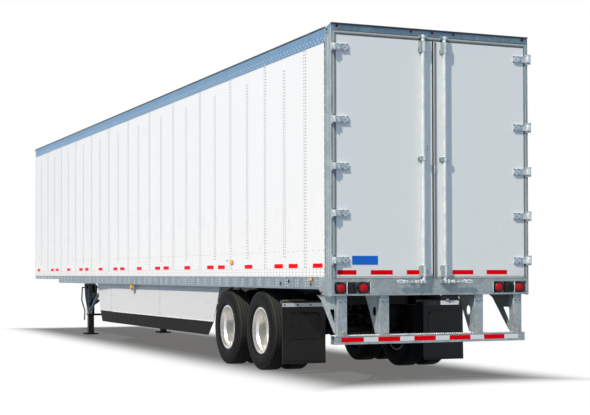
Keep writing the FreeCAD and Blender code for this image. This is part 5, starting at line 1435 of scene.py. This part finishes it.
for side, sign in SIDES.items():
    body = f"{side}_door_leaf"
    middle = sign * ROD_Y
    length = ROD_HIGH.z - ROD_LOW.z - 0.08
    rod = Piece(f"{side}_rod_tube", bright_zinc)
    rod.turned("z", (ROD_X, middle, ROD_LOW.z + 0.04), [(0, 0), (ROD_R, 0), (ROD_R, length), (0, length)])
    collar = Piece(f"{side}_rod_collars", bright_zinc)
    wings = Piece(f"{side}_guide_plates", zinc)
    points = []
    for z, tall, wide, high_by, lift in GUIDES:
        for way in (-1, 1):
            collar.turned("z", (ROD_X, middle, z + way * (tall / 2 + 0.0002)), COLLAR_RIM, 20, way)
        ridge = [(COLLAR_DEEP, middle - 0.019), (COLLAR_DEEP, middle + 0.019),
                 (COLLAR_DEEP - 0.0035, middle + 0.012), (COLLAR_DEEP - 0.0035, middle - 0.012)]
        collar.plate("z", ridge, about(z, tall / 2 - 0.006), 0.001)
        wings.plate("x", rounded(about(middle, wide), about(z + lift, high_by), 0.006),
                    proud(0.0065), 0.001)
        points += [(REAR - 0.0065, middle + across * (wide - 0.008), z + lift) for across in (-1, 1)]
    for made in (rod, collar, wings):
        made.done("galvanised", body)
    bolt_heads(f"{side}_guide_bolts", points, zinc, "galvanised", (-1, 0, 0), body)

# %% [markdown]
# ## Handles
#
# The handle swings out from the foot of the rod: a flat bar with a lump near the rod, a thick
# part half way and an open hasp at the end. It lies in a catch on the frame's sill.

# %% Handles and their catches
HANDLE_Z = ROD_LOW.z + 0.02
HANDLE_START = 0.15
HANDLE_LUMPS = ((0.03, 0.014, 0.024), (0.072, 0.009, 0.018), (0.1, 0.012, 0.021), (0.155, 0.009, 0.014),
                (0.215, 0.01, 0.016), (0.25, 0.014, 0.021))  # along the handle, half width, half height
HASP = (0.3, 0.038, 0.014)  # along the handle, half width, half height

for side, sign in SIDES.items():
    start = sign * HANDLE_START
    handle = Piece(f"{side}_handle", bright_zinc)
    handle.bar([(ROD_X - 0.006, start, HANDLE_Z), (ROD_X - 0.012, start + sign * 0.05, HANDLE_Z),
                (ROD_X - 0.012, start + sign * 0.2, HANDLE_Z - 0.002),
                (ROD_X - 0.01, start + sign * 0.25, HANDLE_Z)], 0.0095, 12)
    for along, wide, tall in HANDLE_LUMPS:
        y = about(start + sign * along, wide)
        handle.block(proud(0.0558, 0.032), y, about(HANDLE_Z, tall), 0.007, 3)
    hasp = [(ROD_X - 0.014, start + sign * (HASP[0] + HASP[1] * u), HANDLE_Z + HASP[2] * v)
            for u, v in arc((0, 0), 1.0, 0, 360, 18)[:-1]]
    handle.bar(hasp + hasp[:1], 0.0085)
    handle.done("galvanised", f"{side}_door_leaf")
    catch = Piece(f"{side}_handle_catch", zinc)
    y = start + sign * 0.13
    catch.block(proud(0.005), about(y, 0.03), about(HANDLE_Z, 0.024), 0.001)
    for z in ((HANDLE_Z - 0.024, HANDLE_Z - 0.019), (HANDLE_Z + 0.019, HANDLE_Z + 0.024)):
        catch.block(proud(0.027, 0.004), about(y, 0.012), z, 0.001)
    catch.done("galvanised")

# %% [markdown]
# ## Cams, latch and rivets
#
# At each end of a rod a cam hooks behind its keeper on the frame. The right door carries the
# latch that holds it back, and the left one has two rivets.

# %% Cams, the latch and the two rivets
CAM = [(0, -0.0185), (0.021, -0.0185), (0.0228, -0.012), (0.0228, 0.012), (0.021, 0.0185), (0, 0.0185)]
CAM_PIN = [(0, 0), (0.0075, 0), (0.0065, -0.005), (0, -0.006)]

for side, sign in SIDES.items():
    cams = Piece(f"{side}_cams", bright_zinc)
    for z in (ROD_LOW.z + 0.02, ROD_HIGH.z - 0.02):
        cams.turned("z", (ROD_X, sign * ROD_Y, z), CAM, 18)
        for across in (-1, 1):
            cams.turned("x", (REAR - 0.0465, sign * ROD_Y + across * 0.019, z), CAM_PIN, 12)
    cams.done("galvanised", f"{side}_door_leaf")
latch = Piece("hold_back_latch", zinc)
latch.block(proud(0.014, 0.0095), (-0.036, -0.016), about(2.44, 0.045), 0.002)
latch.turned("x", (REAR - 0.0135, -0.026, 2.46), [(0, 0), (0.008, 0), (0.006, -0.006), (0, -0.007)], 12)
latch.done("galvanised", "right_door_leaf")
line = ((REAR, 0.07, 2.665), (REAR, 0.07, 2.7))
rivet_rows("left_door_rivets", [line], panel_rivet, "galvanised", (-1, 0, 0), "left_door_leaf")

# %% [markdown]
# # The sides
#
# The tape blocks repeat with the panels: a pair, then a single, in a rhythm of two panels.
# Small lamps sit in the rails and posts: amber ahead, red at the rear.

# %% Side tape
PAIR_FIRST = REAR + 1.115
PAIR_SPREAD = 0.462
SINGLE_FIRST = REAR + 2.62
REPEAT = 2 * SEAM_PITCH
SIDE_TAPE_Z = 1.326
SIDE_TAPE_THICK = 0.0005
EDGE = 0.004  # white left showing round a red block

blocks = [REAR + 0.385]
start = PAIR_FIRST
while start < NOSE - 0.4:
    blocks += [start, start + PAIR_SPREAD]
    start += REPEAT
start = SINGLE_FIRST
while start < NOSE - 0.2:
    blocks.append(start)
    start += REPEAT
blocks = [place for place in blocks if place < NOSE - 0.22]
blocks[-1] = NOSE - 0.42  # the last one is set by the corner, not by the rhythm
for side, sign in SIDES.items():
    red = Piece(f"{side}_side_red_tape", red_tape)
    white = Piece(f"{side}_side_tape_edges", white_tape)
    face = sign * SKIN
    under = face + sign * SIDE_TAPE_THICK
    for place in blocks:
        x, z = about(place, RED / 2), about(SIDE_TAPE_Z, TAPE_TALL / 2)
        white.block((x[0] - EDGE, x[1] + EDGE), (face, under), (z[0] - EDGE, z[1] + EDGE))
        red.block(x, (under, face + sign * 2 * SIDE_TAPE_THICK), z)
    red.done("red_tape", smooth=False)
    white.done("white_tape", smooth=False)
print("tape blocks on each side:", len(blocks))

# %% [markdown]
# ## Side lamps
#
# Two long amber lamps lie near the rear, with two small round red markers, and a round one
# sits in each nose corner. The midship lamp is hung below the rail on a bent bracket.

# %% Side lamps
LONG_LAMPS = ((REAR + 0.568, HALF, 1.168, 0.04, 0.02), (REAR + 3.24, SKIN, 1.387, 0.046, 0.025))
MIDSHIP = (REAR + 8.23, RAIL_BOTTOM - 0.047)
MIDSHIP_Y = (HALF - 0.06, HALF - 0.024)


def dome(name, finish, places, sign, radius, slot="amber_lens", rise=0.014):
    """Round side lamps with a dome; places are their centres on the face."""
    outline = [(0, 0), (radius, 0), (radius, 0.43 * rise), (radius * 0.93, 0.71 * rise),
               (radius * 0.6, 0.93 * rise), (0, rise)]
    made = Piece(name, finish)
    for place in places:
        made.turned("y", place, outline, way=sign)
    made.done(slot)


for side, sign in SIDES.items():
    foot = Piece(f"{side}_lamp_feet", black_trim)
    long_lamp = Piece(f"{side}_long_lamps", amber_lens)
    for x, face, z, half, tall in LONG_LAMPS:
        y = sign * face
        foot.plate("y", rounded(about(z, tall + 0.004), about(x, half + 0.004), 0.01), (y, y + sign * 0.004))
        long_lamp.plate("y", rounded(about(z, tall), about(x, half), 0.009), (y, y + sign * 0.014), 0.004, 2)
    foot.plate("y", rounded(about(1.412, 0.005), about(REAR + 3.42, 0.035), 0.002),
               (sign * SKIN, sign * (SKIN + 0.003)))
    foot.done("black_rubber")
    long_lamp.done("amber_lens")
    rail_y = sign * HALF
    markers = [(REAR + 0.271, rail_y, 1.022), (REAR + 0.568, rail_y, 1.112)]
    dome(f"{side}_corner_lamp", amber_lens, [(NOSE - 0.06, rail_y, 4.022)], sign, 0.027)
    dome(f"{side}_red_markers", dark_red_lens, markers, sign, 0.012, "red_lens")
    x, z = MIDSHIP
    y0, y1 = (sign * y for y in MIDSHIP_Y)
    shape = [(RAIL_BOTTOM, x - 0.115), (RAIL_BOTTOM, x + 0.115), (z - 0.034, x + 0.068),
             (z - 0.05, x + 0.05), (z - 0.05, x - 0.05), (z - 0.034, x - 0.068)]
    bracket = Piece(f"{side}_midship_bracket", zinc)
    bracket.plate("y", shape, (y1 - sign * 0.003, y1), 0.001)
    bracket.block((x - 0.085, x + 0.085), (y0, y1), (RAIL_BOTTOM - 0.003, RAIL_BOTTOM), 0.0008)
    bracket.done("galvanised")
    dome(f"{side}_midship_lamp", amber_lens, [(x, y1, z)], sign, 0.044, rise=0.036)

# %% [markdown]
# ## Hooks, roof edge and folds
#
# Two small hooks hang on the rail near the rear. The roof sheet is folded over the rail along
# each side. The rear post is a folded section too, and its folds are pale strips: painted
# highlights where they catch the light.

# %% Hooks, roof edge and folds of the post
HOOKS = ((REAR + 1.495, 1.116), (REAR + 1.238, 1.144))
HOOK_PATH = ((0, 0.004, 0.01), (0, 0.01, 0.006), (0.006, 0.01, -0.01), (0.016, 0.009, -0.018))

for side, sign in SIDES.items():
    y = sign * HALF
    hooks = Piece(f"{side}_rail_hooks", black_trim)
    for x, z in HOOKS:
        hooks.plate("y", rounded(about(z, 0.022), about(x, 0.009), 0.004), (y, y + sign * 0.004), 0.0008)
        hooks.bar([(x + along, y + sign * out, z + rise) for along, out, rise in HOOK_PATH], 0.004)
    hooks.done("black_steel")
    edge = Piece(f"{side}_roof_edge", roof_edge_metal)
    edge.block((REAR + 0.178, NOSE - 0.086), (sign * (HALF - 0.03), sign * (HALF - 0.0005)),
               (ROOF - 0.0018, ROOF + 0.014), 0.004, 2)
    edge.block((REAR + 0.178, NOSE - 0.088), (sign * (HALF - 0.001), y), (ROOF - 0.011, ROOF - 0.002), 0.0004)
    edge.done("roof_aluminium")
    joint = Piece(f"{side}_post_joint", black_trim)
    joint.block((REAR + 0.163, REAR + 0.18), (y, sign * (HALF + 0.0004)), (RAIL_TOP, TOP_RAIL_LOW))
    joint.done("seal_rubber")
    # Pale strips on the post's folds: painted highlights.
    folds = Piece(f"{side}_post_folds", hinge_zinc)
    folds.block((REAR + 0.0015, REAR + 0.016), (y, sign * (HALF + 0.0008)), (SILL_TOP, ROOF - 0.02), 0.0003)
    folds.block((REAR + 0.074, REAR + 0.084), (y, sign * (HALF + 0.0014)), (SILL_TOP, ROOF - 0.12), 0.0005)
    folds.done("galvanised")

# %% [markdown]
# # Wheels and tyres
#
# A trailer tyre is a ribbed one: four straight grooves round the tread, a smooth shoulder, and
# a sidewall with a ring near the tread and another near the bead. Its section is one outline,
# spun round the axle, so it is turned like a pot. The pair on each hub rides with that wheel.

# %% Tyre section
TYRE_SIDES = 84
TYRE_MIDDLES = (1.14, 0.81)
TREAD_R = 0.508
GROOVE_DEEP = 0.0125
GROOVES = (0.0215, 0.064)  # groove middles, each side of the middle line
GROOVE_HALF = 0.0052
GROOVE_FOOT = GROOVE_HALF * 0.45  # half the width of a groove's floor
SHOULDER = [(0.5062, 0.093), (0.5035, 0.101), (0.498, 0.1075), (0.489, 0.111)]
WALL_RING = [(0.484, 0.1122), (0.4825, 0.1145), (0.478, 0.116), (0.4765, 0.115)]
WALL = [(0.46, 0.1208), (0.44, 0.1262), (0.418, 0.1296), (0.395, 0.1308), (0.372, 0.1302), (0.352, 0.128)]
BEAD_RING = [(0.3475, 0.1288), (0.3435, 0.1284), (0.3405, 0.1255)]
BEAD = [(0.325, 0.1215), (0.312, 0.116), (0.303, 0.1095), (0.2995, 0.103), (0.2875, 0.096)]
INSIDE = [(0.2875, 0.08), (0.31, 0.09), (0.37, 0.113), (0.44, 0.108), (0.48, 0.085), (0.486, 0.0)]


def tyre_section():
    """A closed section of (radius, along), from the inner bead over the tread to the outer one."""
    half = [(TREAD_R, 0.0)]
    for number, middle in enumerate(GROOVES):
        crown = TREAD_R - 0.0005 * number
        half += [(crown, middle - GROOVE_HALF), (crown - GROOVE_DEEP, middle - GROOVE_FOOT),
                 (crown - GROOVE_DEEP, middle + GROOVE_FOOT), (crown - 0.0002, middle + GROOVE_HALF)]
    half += SHOULDER + WALL_RING + WALL + BEAD_RING + BEAD + INSIDE
    return [(radius, -along) for radius, along in reversed(half[1:-1])] + half


section = tyre_section()
for end, side in WHEELS:
    tyres = Piece(f"{end}_{side}_tyre_pair", tyre_rubber[end])
    for middle in TYRE_MIDDLES:
        tyres.turned("y", (AXLES[end], SIDES[side] * middle, HUB_Z), section, TYRE_SIDES)
    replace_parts(tyres.done("tyre", f"{end}_{side}_wheel"), f"{end}_{side}_tyres")

# %% [markdown]
# ## Shoulder slots
#
# The edge of the tread is notched by short slots that let heat out. They are too small to
# model one by one, so a recipe sets a thin dark wedge at even steps round each shoulder.

# %% Slots round the shoulders
SLOT_COUNT = 72
SLOT_SIZE = (0.0016, 0.01, 0.005)  # round the tyre, across, deep
SLOT_R = 0.5035
SLOT_OUT = 0.0965  # from the tyre's middle line


def slot_recipe():
    made = Recipe("slots_round_a_tyre")
    count = made.size("Count", SLOT_COUNT, "Int")
    radius = made.size("Radius", SLOT_R)
    size = [made.size(name, value) for name, value in zip(("Wide", "Across", "Deep"), SLOT_SIZE)]
    wedge = made.node("MeshCube", Size=made.vector(*size)).outputs["Mesh"]
    spots = made.node("MeshCircle", Vertices=count, Radius=radius).outputs["Mesh"]
    upright = made.place(spots, Rotation=(math.radians(90), 0, 0))
    place = made.node("InputPosition").outputs[0]
    ring = made.repeat(wedge, upright, Rotation=made.facing(place))
    return made.serve(made.repeat(ring, made.given), False)


slots = slot_recipe()
for end, side in WHEELS:
    middles = [(AXLES[end], SIDES[side] * (middle + edge), HUB_Z)
               for middle in TYRE_MIDDLES for edge in (-SLOT_OUT, SLOT_OUT)]
    centres = mesh_object(f"{end}_{side}_tread_slots", middles)
    cook(slots, centres, black_trim, f"{end}_{side}_wheel", "tyre", Radius=SLOT_R)

# %% [markdown]
# ## Nuts, hub caps and valves
#
# Ten flanged nuts hold each pair. The hub ends in a bright cap with a ring of small screws. A
# valve stem stands in one of the hand holes.

# %% Wheel fittings
NUTS, NUT_RING, DISC_FACE = 10, 0.1429, 0.995
SCREWS, SCREW_RING = 6, 0.0715
HUB_END = high("rear_left_hub").y
HUB_CAP = [(0, -0.03), (0.078, -0.03), (0.078, -0.024), (0.071, -0.02), (0.066, -0.012), (0.064, 0.002),
           (0.058, 0.009), (0.044, 0.013), (0.04, 0.01), (0.014, 0.011), (0.012, 0.016), (0, 0.017)]
VALVE = ((0.205, 0.985, 0.06), (0.205, 1.02, 0.06), (0.199, 1.07, 0.064), (0.195, 1.105, 0.066))


def round_axle(end, y, radius, count, shift=0.0):
    """Points at even steps round an axle."""
    turns = [FULL_TURN * (number + shift) / count for number in range(count)]
    return [(AXLES[end] + radius * math.cos(turn), y, HUB_Z + radius * math.sin(turn)) for turn in turns]


for end, side in WHEELS:
    sign = SIDES[side]
    body = f"{end}_{side}_wheel"
    facing = (0, sign, 0)
    nuts = round_axle(end, sign * DISC_FACE, NUT_RING, NUTS, 0.5)
    bolt_heads(f"{end}_{side}_wheel_nuts", nuts, bright_zinc, "polished_aluminium", facing, body)
    cap = Piece(f"{end}_{side}_hub_cap", cast_metal)
    cap.turned("y", (AXLES[end], sign * HUB_END, HUB_Z), HUB_CAP, 32, sign).done("cast_aluminium", body)
    screws = round_axle(end, sign * (HUB_END - 0.021), SCREW_RING, SCREWS)
    bolt_heads(f"{end}_{side}_cap_screws", screws, bright_zinc, "cast_aluminium", facing, body)
    valve = Piece(f"{end}_{side}_valve", bright_zinc)
    valve.bar([(AXLES[end] + along, sign * out, HUB_Z + rise) for along, out, rise in VALVE], 0.0042)
    valve.done("bare_steel", body)

# %% [markdown]
# # Below the body
#
# A mud flap is one sheet of rubber with a raised U pressed into it, hung from a steel strip. A
# flat block can't show the way it bows, so the sheet is a fine grid whose points are pushed out
# by a formula: a ridge along the U, a slow curl towards the foot, and a crease.

# %% The shape of a mud flap
FLAP_GRID = (58, 74)  # steps across and up
FLAP_CURL = 0.014
FLAP_WAVE = 0.003
RIDGE = (0.0045, 0.011)  # height and half width of the pressed line
RIDGE_BOX = (0.205, 0.15, 0.055)  # half width, half height and corner radius
RIDGE_Z = 0.585
CREASE = (0.003, 0.008)  # height and half width
CREASE_Z = 0.165
FLAP_LOW, FLAP_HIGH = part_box("mud_flaps")
FLAP_Y = (0.69, FLAP_HIGH.y)  # inner and outer edge


def flap_push(across, z):
    """How far a point of the flap stands out to the rear."""
    half, tall, corner = RIDGE_BOX
    dx = abs(across) - (half - corner)
    dz = abs(z - RIDGE_Z) - (tall - corner)
    outside = math.hypot(max(dx, 0), max(dz, 0)) + min(max(dx, dz), 0) - corner
    ridge = RIDGE[0] * math.exp(-(outside / RIDGE[1]) ** 2)
    crease = CREASE[0] * math.exp(-((z - CREASE_Z - 0.03 * across) / CREASE[1]) ** 2)
    drop = (FLAP_HIGH.z - z) / FLAP_HIGH.z
    wave = FLAP_WAVE * math.sin(9 * across + 2 * z) * drop
    return ridge + crease + FLAP_CURL * drop ** 2 + wave


def flap_sheet(sign):
    """Points and faces of a flap: two pushed grids, joined round the rim."""
    wide, tall = FLAP_GRID
    middle = sum(FLAP_Y) / 2
    points, faces = [], []
    for skin in (0.0, FLAP_HIGH.x - FLAP_LOW.x - 0.001):
        for row in range(tall + 1):
            z = FLAP_LOW.z + (FLAP_HIGH.z - FLAP_LOW.z) * row / tall
            for step in range(wide + 1):
                across = (FLAP_Y[1] - FLAP_Y[0]) * (step / wide - 0.5)
                points.append((FLAP_LOW.x + 0.001 + skin - flap_push(across, z), sign * (middle + across), z))
    layer = (wide + 1) * (tall + 1)
    for row in range(tall):
        for step in range(wide):
            a = row * (wide + 1) + step
            faces.append((a, a + 1, a + wide + 2, a + wide + 1))
            faces.append(tuple(layer + number for number in (a, a + wide + 1, a + wide + 2, a + 1)))
    rim = list(range(wide + 1))
    rim += [row * (wide + 1) + wide for row in range(1, tall + 1)]
    rim += [tall * (wide + 1) + step for step in range(wide - 1, -1, -1)]
    rim += [row * (wide + 1) for row in range(tall - 1, 0, -1)]
    faces += [(a, b, layer + b, layer + a) for a, b in zip(rim, rim[1:] + rim[:1])]
    return points, faces


print("flap grid:", FLAP_GRID)

# %% [markdown]
# ## Hanging the flaps
#
# Each flap is clamped by a thin steel strip and four bolts. The road side's strip is painted
# bright as lit, and the kerb side's strip near black as painted shade. Both flaps hang from the
# bogie.

# %% Flaps, strips and bolts
# The road side's strip wears bright zinc as painted light, the kerb side's near black zinc as painted shade.
STRIP_LIT_AND_SHADED = {"left": bright_zinc, "right": shade_zinc}
STRIP_X = low("flap_brackets").x
BRACKET_TOP = high("flap_brackets").z

for side, sign in SIDES.items():
    inner, outer = FLAP_Y
    sheet = Piece(f"{side}_flap_sheet", flap.material).add(*flap_sheet(sign)).done("black_rubber", "bogie")
    if side == "left":
        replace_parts(sheet, "mud_flaps")
    heads = [(STRIP_X, sign * (outer - 0.03 - 0.173 * number), FLAP_HIGH.z - 0.0235) for number in range(4)]
    bolt_heads(f"{side}_flap_bolts", heads, black_trim, "galvanised", (-1, 0, 0), "bogie")
    clamp = Piece(f"{side}_flap_strip", STRIP_LIT_AND_SHADED[side])
    clamp.block((STRIP_X - 0.0012, STRIP_X), [sign * (inner + 0.004), sign * outer],
                (FLAP_HIGH.z - 0.047, FLAP_HIGH.z), 0.0004)
    clamp.done("galvanised", "bogie")
    edge = Piece(f"{side}_flap_bracket_edge", brass)
    edge.block((STRIP_X, STRIP_X + 0.012), [sign * (outer - 0.3), sign * outer],
               (BRACKET_TOP - 0.0005, BRACKET_TOP + 0.004), 0.001)
    edge.done("galvanised", "bogie")

# %% [markdown]
# ## Skirts
#
# Each skirt is three sheets. The joints are narrow dark gaps with rivets beside them, and the
# strip below is hung from a folded white edge.

# %% Skirt joints, rivets and edge
SKIRT_Y = high("skirt_panels").y
SKIRT_LOW = low("skirt_panels").z
SKIRT_JOINTS = ((REAR + 6.8, 0.0008), (REAR + 9.78, 0.0003))  # place, and how proud it stands
SKIRT_PAIRS = ((4.42, (0.613, 0.82, 1.027)), (6.8, (0.613, 0.826)), (9.78, (0.628, 0.844)))

for side, sign in SIDES.items():
    face = sign * SKIRT_Y
    joints = Piece(f"{side}_skirt_joints", seal_rubber)
    for x, out in SKIRT_JOINTS:
        joints.block(about(x, 0.0035), (face, face + sign * out), (SKIRT_LOW + 0.004, RAIL_BOTTOM))
    joints.done("seal_rubber")
    lines = [((REAR + x - 0.055, face, z), (REAR + x + 0.055, face, z))
             for x, rows in SKIRT_PAIRS for z in rows]
    rivet_rows(f"{side}_skirt_rivets", lines, panel_rivet, "white_skirt", (0, sign, 0))
    hem = Piece(f"{side}_skirt_hem", side_paint)
    hem.block((low("skirt_strips").x + 0.02, REAR + 9.7), (face, face + sign * 0.0035),
              (SKIRT_LOW - 0.004, SKIRT_LOW + 0.008), 0.001)
    hem.done("white_skirt")

# %% [markdown]
# ## The rear guard
#
# The guard's posts are folded channels. Beside each stands a flanged gusset that carries the
# push up to the sill. The outer gussets have a three cornered window and the inner ones a
# slot, which a plate with holes gives directly. They stand in for the frame's plainer posts.

# %% Guard posts and gussets
GUARD_TOP = high("guard_bar").z
GUARD_X = low("guard_posts").x
POST_MIDDLES = (0.62, 1.15)
POST_SPOTS = [(sign, number) for sign in SIDES.values() for number in range(len(POST_MIDDLES))]
CHANNEL = (0.114, 0.09, 0.006)  # width, depth and wall
FLANGE = 0.036
PLATE_X = GUARD_X + 0.06
PLATE_TOP = SILL_BOTTOM - 0.0005
KNEE_Z = PLATE_TOP - 0.045
PLATE_REACH = ((REAR + 0.365, REAR + 0.4), (REAR + 0.485, REAR + 0.59))  # inner, outer: knee and top
TOES = ((GUARD_X + 0.12, GUARD_TOP + 0.015), (GUARD_X + 0.1, GUARD_TOP + 0.03))
WINDOW = ((REAR + 0.1, SILL_BOTTOM - 0.155), (REAR + 0.24, SILL_BOTTOM - 0.155),
          (REAR + 0.1, SILL_BOTTOM - 0.33))


def softened(corners, radius, steps=3):
    """Corners with short rounds on them."""
    out = []
    for number, here in enumerate(corners):
        here = Vector(here)
        back = (Vector(corners[number - 1]) - here).normalized() * radius
        on = (Vector(corners[(number + 1) % len(corners)]) - here).normalized() * radius
        for step in range(steps + 1):
            share = step / steps
            out.append(tuple(here + back * (1 - share) ** 2 + on * share ** 2))
    return out


def turned_over(loop):
    """An outline drawn as (x, z), given as (z, x) for a plate square to Y."""
    return [(z, x) for x, z in loop]


wide, deep, wall = CHANNEL
half = wide / 2
channel = [(0, -half), (0, half), (deep, half), (deep, half - wall), (wall, half - wall),
           (wall, -half + wall), (deep, -half + wall), (deep, -half)]
slot_hole = rounded(about(GUARD_X + 0.136, 0.044), (PLATE_TOP - 0.238, PLATE_TOP - 0.13), 0.0439, 8)
holes = (slot_hole, softened(WINDOW, 0.022))
channels = Piece("guard_channels", zinc)
gussets = Piece("guard_gussets", zinc)
for sign, number in POST_SPOTS:
    middle = sign * POST_MIDDLES[number]
    channels.plate("z", [(GUARD_X + x, middle + y) for x, y in channel], (GUARD_TOP, SILL_BOTTOM), 0.0015)
    toe, (knee, top) = TOES[number], PLATE_REACH[number]
    outline = [(PLATE_X, PLATE_TOP), (top, PLATE_TOP), (knee, KNEE_Z), toe, (PLATE_X, toe[1])]
    run = Vector((knee - toe[0], KNEE_Z - toe[1]))
    out = Vector((-run.y, run.x)).normalized() * wall
    edge = [toe, (knee, KNEE_Z), (knee + out.x, KNEE_Z + out.y), (toe[0] + out.x, toe[1] + out.y)]
    face = middle + half
    gussets.cutout("y", turned_over(outline), [turned_over(holes[number])], (face, face + wall))
    gussets.plate("y", turned_over(edge), (face - FLANGE, face), 0.001)
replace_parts(channels.done("galvanised"), "guard_posts")
gussets.done("galvanised")

# %% [markdown]
# ## Teeth and bolts of the guard
#
# The guard's bar has a non-slip top: rows of raised teeth, which are the rivet recipe again on
# lines along the bar. Each post has two galvanised bolts at its head and a plated one at its
# foot. The bar's lips are folded over its two long edges.

# %% Teeth, bolts and lips
TOOTH_ROWS = ((0.014, 0.0), (0.038, 0.013), (0.062, 0.0), (0.086, 0.013))  # ahead, and shifted along

x, z = bar_low.x, bar_high.z
lines = [((x + ahead, bar_low.y + 0.02 + shift, z), (x + ahead, bar_high.y - 0.02, z))
         for ahead, shift in TOOTH_ROWS]
rivet_rows("guard_teeth", lines, bright_zinc, "galvanised", (0, 0, 1))
spots = [sign * POST_MIDDLES[number] for sign, number in POST_SPOTS]
heads = [(GUARD_X, y + shift, SILL_BOTTOM - 0.058) for y in spots for shift in (-0.033, 0.033)]
# The head bolts wear the blue shaded zinc: painted shade.
bolt_heads("guard_top_bolts", heads, header_zinc, "galvanised", (-1, 0, 0))
feet = [(GUARD_X, y, GUARD_TOP + 0.04) for y in spots]
bolt_heads("guard_foot_bolts", feet, brass, "galvanised", (-1, 0, 0))
lip = Piece("guard_bar_lips", zinc)
for z in ((bar_low.z - 0.0002, bar_low.z + 0.012), (bar_high.z - 0.012, bar_high.z + 0.0002)):
    lip.block((bar_low.x - 0.0035, bar_low.x + 0.002), (bar_low.y + 0.001, bar_high.y - 0.001), z, 0.0015)
lip.done("galvanised")

# %% [markdown]
# ## Licence plate and lamp pockets
#
# The blank licence plate has a small lamp in a black box at its top edge. The pockets of the
# tail lamps have bright edges that stand a little proud, painted bright as painted highlights.

# %% Licence lamp and pocket edges
plate_low, plate_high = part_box("licence_bracket")
plate_x, plate_y = plate_low.x, (plate_low.y + plate_high.y) / 2

lamp_box = Piece("licence_lamp_box", black_trim)
lamp_box.block((plate_x - 0.004, plate_x), (plate_low.y + 0.004, plate_high.y - 0.004),
               (0.922, plate_high.z), 0.001)
lamp_box.block((plate_x - 0.016, plate_x - 0.004), about(plate_y + 0.02, 0.055), (0.928, 0.958), 0.004, 2)
lamp_box.done("black_rubber")
lens = Piece("licence_lamp_lens", white_tape)
lens.block((plate_x - 0.0165, plate_x - 0.012), about(plate_y + 0.035, 0.016), (0.9255, 0.934), 0.001)
lens.done("white_plate")
screw = Piece("licence_screw", black_trim)
screw.turned("x", (plate_x, plate_y, 0.9), [(0, 0), (0.008, 0), (0.007, -0.004), (0, -0.005)], 14)
screw.done("black_rubber")
# Bright strips at the pockets' edges: painted highlights.
edges = Piece("pocket_edges", bright_zinc)
for sign in SIDES.values():
    for y in (LAMP_YS[0] - 0.072, LAMP_YS[1] - 0.083):
        edges.block(proud(0.0035, -0.004), about(sign * y, 0.004), about(LAMP_Z, 0.066), 0.001)
edges.done("galvanised")

# %% [markdown]
# ## Landing gear
#
# Each leg hangs from a pressed wing: a wide plate with windows and folded edges that narrows
# down to the leg.

# %% Leg wings
LEG_X = REAR + 13.1
WING_X = LEG_X - 0.0625 - 0.01
WING_THICK = 0.006
WING = ((0.777, 0.425), (0.838, 0.425), (0.872, 0.56), (0.906, 0.8), (0.918, 1.04), (0.7, 1.04),
        (0.664, 0.8), (0.735, 0.56))  # y and z, for the left leg
WING_WINDOWS = (((0.765, 1.01), (0.712, 1.01), (0.7, 0.855), (0.722, 0.835), (0.757, 0.88)),
                ((0.8, 0.56), (0.812, 0.62), (0.77, 0.745), (0.735, 0.745), (0.755, 0.62)),
                ((0.88, 1.015), (0.83, 1.015), (0.815, 0.95), (0.87, 0.93)))
WING_HOLES = ((0.788, 0.019), (0.706, 0.013))  # height and radius
HOLE_Y = 0.852
WING_RIDGE = ((0.005, 0.8, 1.03), (0.008, 0.786, 0.9), (0.008, 0.725, 0.8), (0.006, 0.775, 0.54))
WING_MARKS = ((0.79, 0.8), (0.79, 0.855), (0.808, 0.46), (0.808, 0.5))

for side, sign in SIDES.items():
    holes = [[(sign * y, z) for y, z in window] for window in WING_WINDOWS]
    for z, radius in WING_HOLES:
        holes.append([(sign * (HOLE_Y + y), z + rise) for y, rise in arc((0, 0), radius, 0, 360, 14)[:-1]])
    wing = Piece(f"{side}_leg_wing", leg_paint)
    wing.cutout("x", [(sign * y, z) for y, z in WING], holes, (WING_X, WING_X + WING_THICK))
    folds = list(zip(WING[1:4], WING[2:5])) + list(zip(WING[5:7], WING[6:8]))
    for fold in folds:
        wing.bar([(WING_X - 0.006, sign * y, z) for y, z in fold], 0.009)
    wing.bar([(WING_X - out, sign * y, z) for out, y, z in WING_RIDGE], 0.01)
    wing.done("grey_steel")
    marks = [(WING_X, sign * y, z) for y, z in WING_MARKS]
    bolt_heads(f"{side}_wing_bolts", marks, black_trim, "black_steel", (-1, 0, 0))

# %% [markdown]
# ## Air couplings on the nose
#
# The socket box carries two glad hands, red for the supply line and blue for the service
# line. The castings are there already; each gets a painted collar, two painted seal covers on
# its head and four small bolts.

# %% Couplings
GLADHAND_Y = 0.19
HEAD_R = 0.022
HEAD_HALF = 0.017
BOLT_RING = 0.027
BOLT_TURNS = (0.8, 2.35, 3.9, 5.5)  # radians round the neck
COLLAR = [(0, 0), (0.019, 0), (0.019, 0.011), (0.0155, 0.015), (0, 0.015)]
COVER = [(0, 0), (0.0205, 0), (0.0195, 0.0035), (0.012, 0.005), (0.0105, 0.003), (0, 0.003)]

box_low, box_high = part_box("service_box")
hand_z = (box_low.z + box_high.z) / 2
plate_x = box_high.x - 0.048
red_paint = chassis_paint("coupling_red", (0.45, 0.012, 0.01), 0.4, 0.15)
blue_paint = chassis_paint("coupling_blue", (0.01, 0.05, 0.35), 0.4, 0.15)
for name, sign, finish, slot in (("supply", 1, red_paint, "red_lens"),
                                 ("service", -1, blue_paint, "blue_plate")):
    y = sign * GLADHAND_Y
    hand = Piece(f"{name}_coupling", finish)
    hand.turned("x", (plate_x, y, hand_z), COLLAR)
    for way in (-1, 1):
        hand.turned("y", (box_high.x - HEAD_R, y + way * HEAD_HALF, hand_z), COVER, way=way)
    hand.done(slot)
    ring = [(plate_x, y + BOLT_RING * math.cos(turn), hand_z + BOLT_RING * math.sin(turn))
            for turn in BOLT_TURNS]
    bolt_heads(f"{name}_coupling_bolts", ring, bright_zinc, "bare_steel", (1, 0, 0))
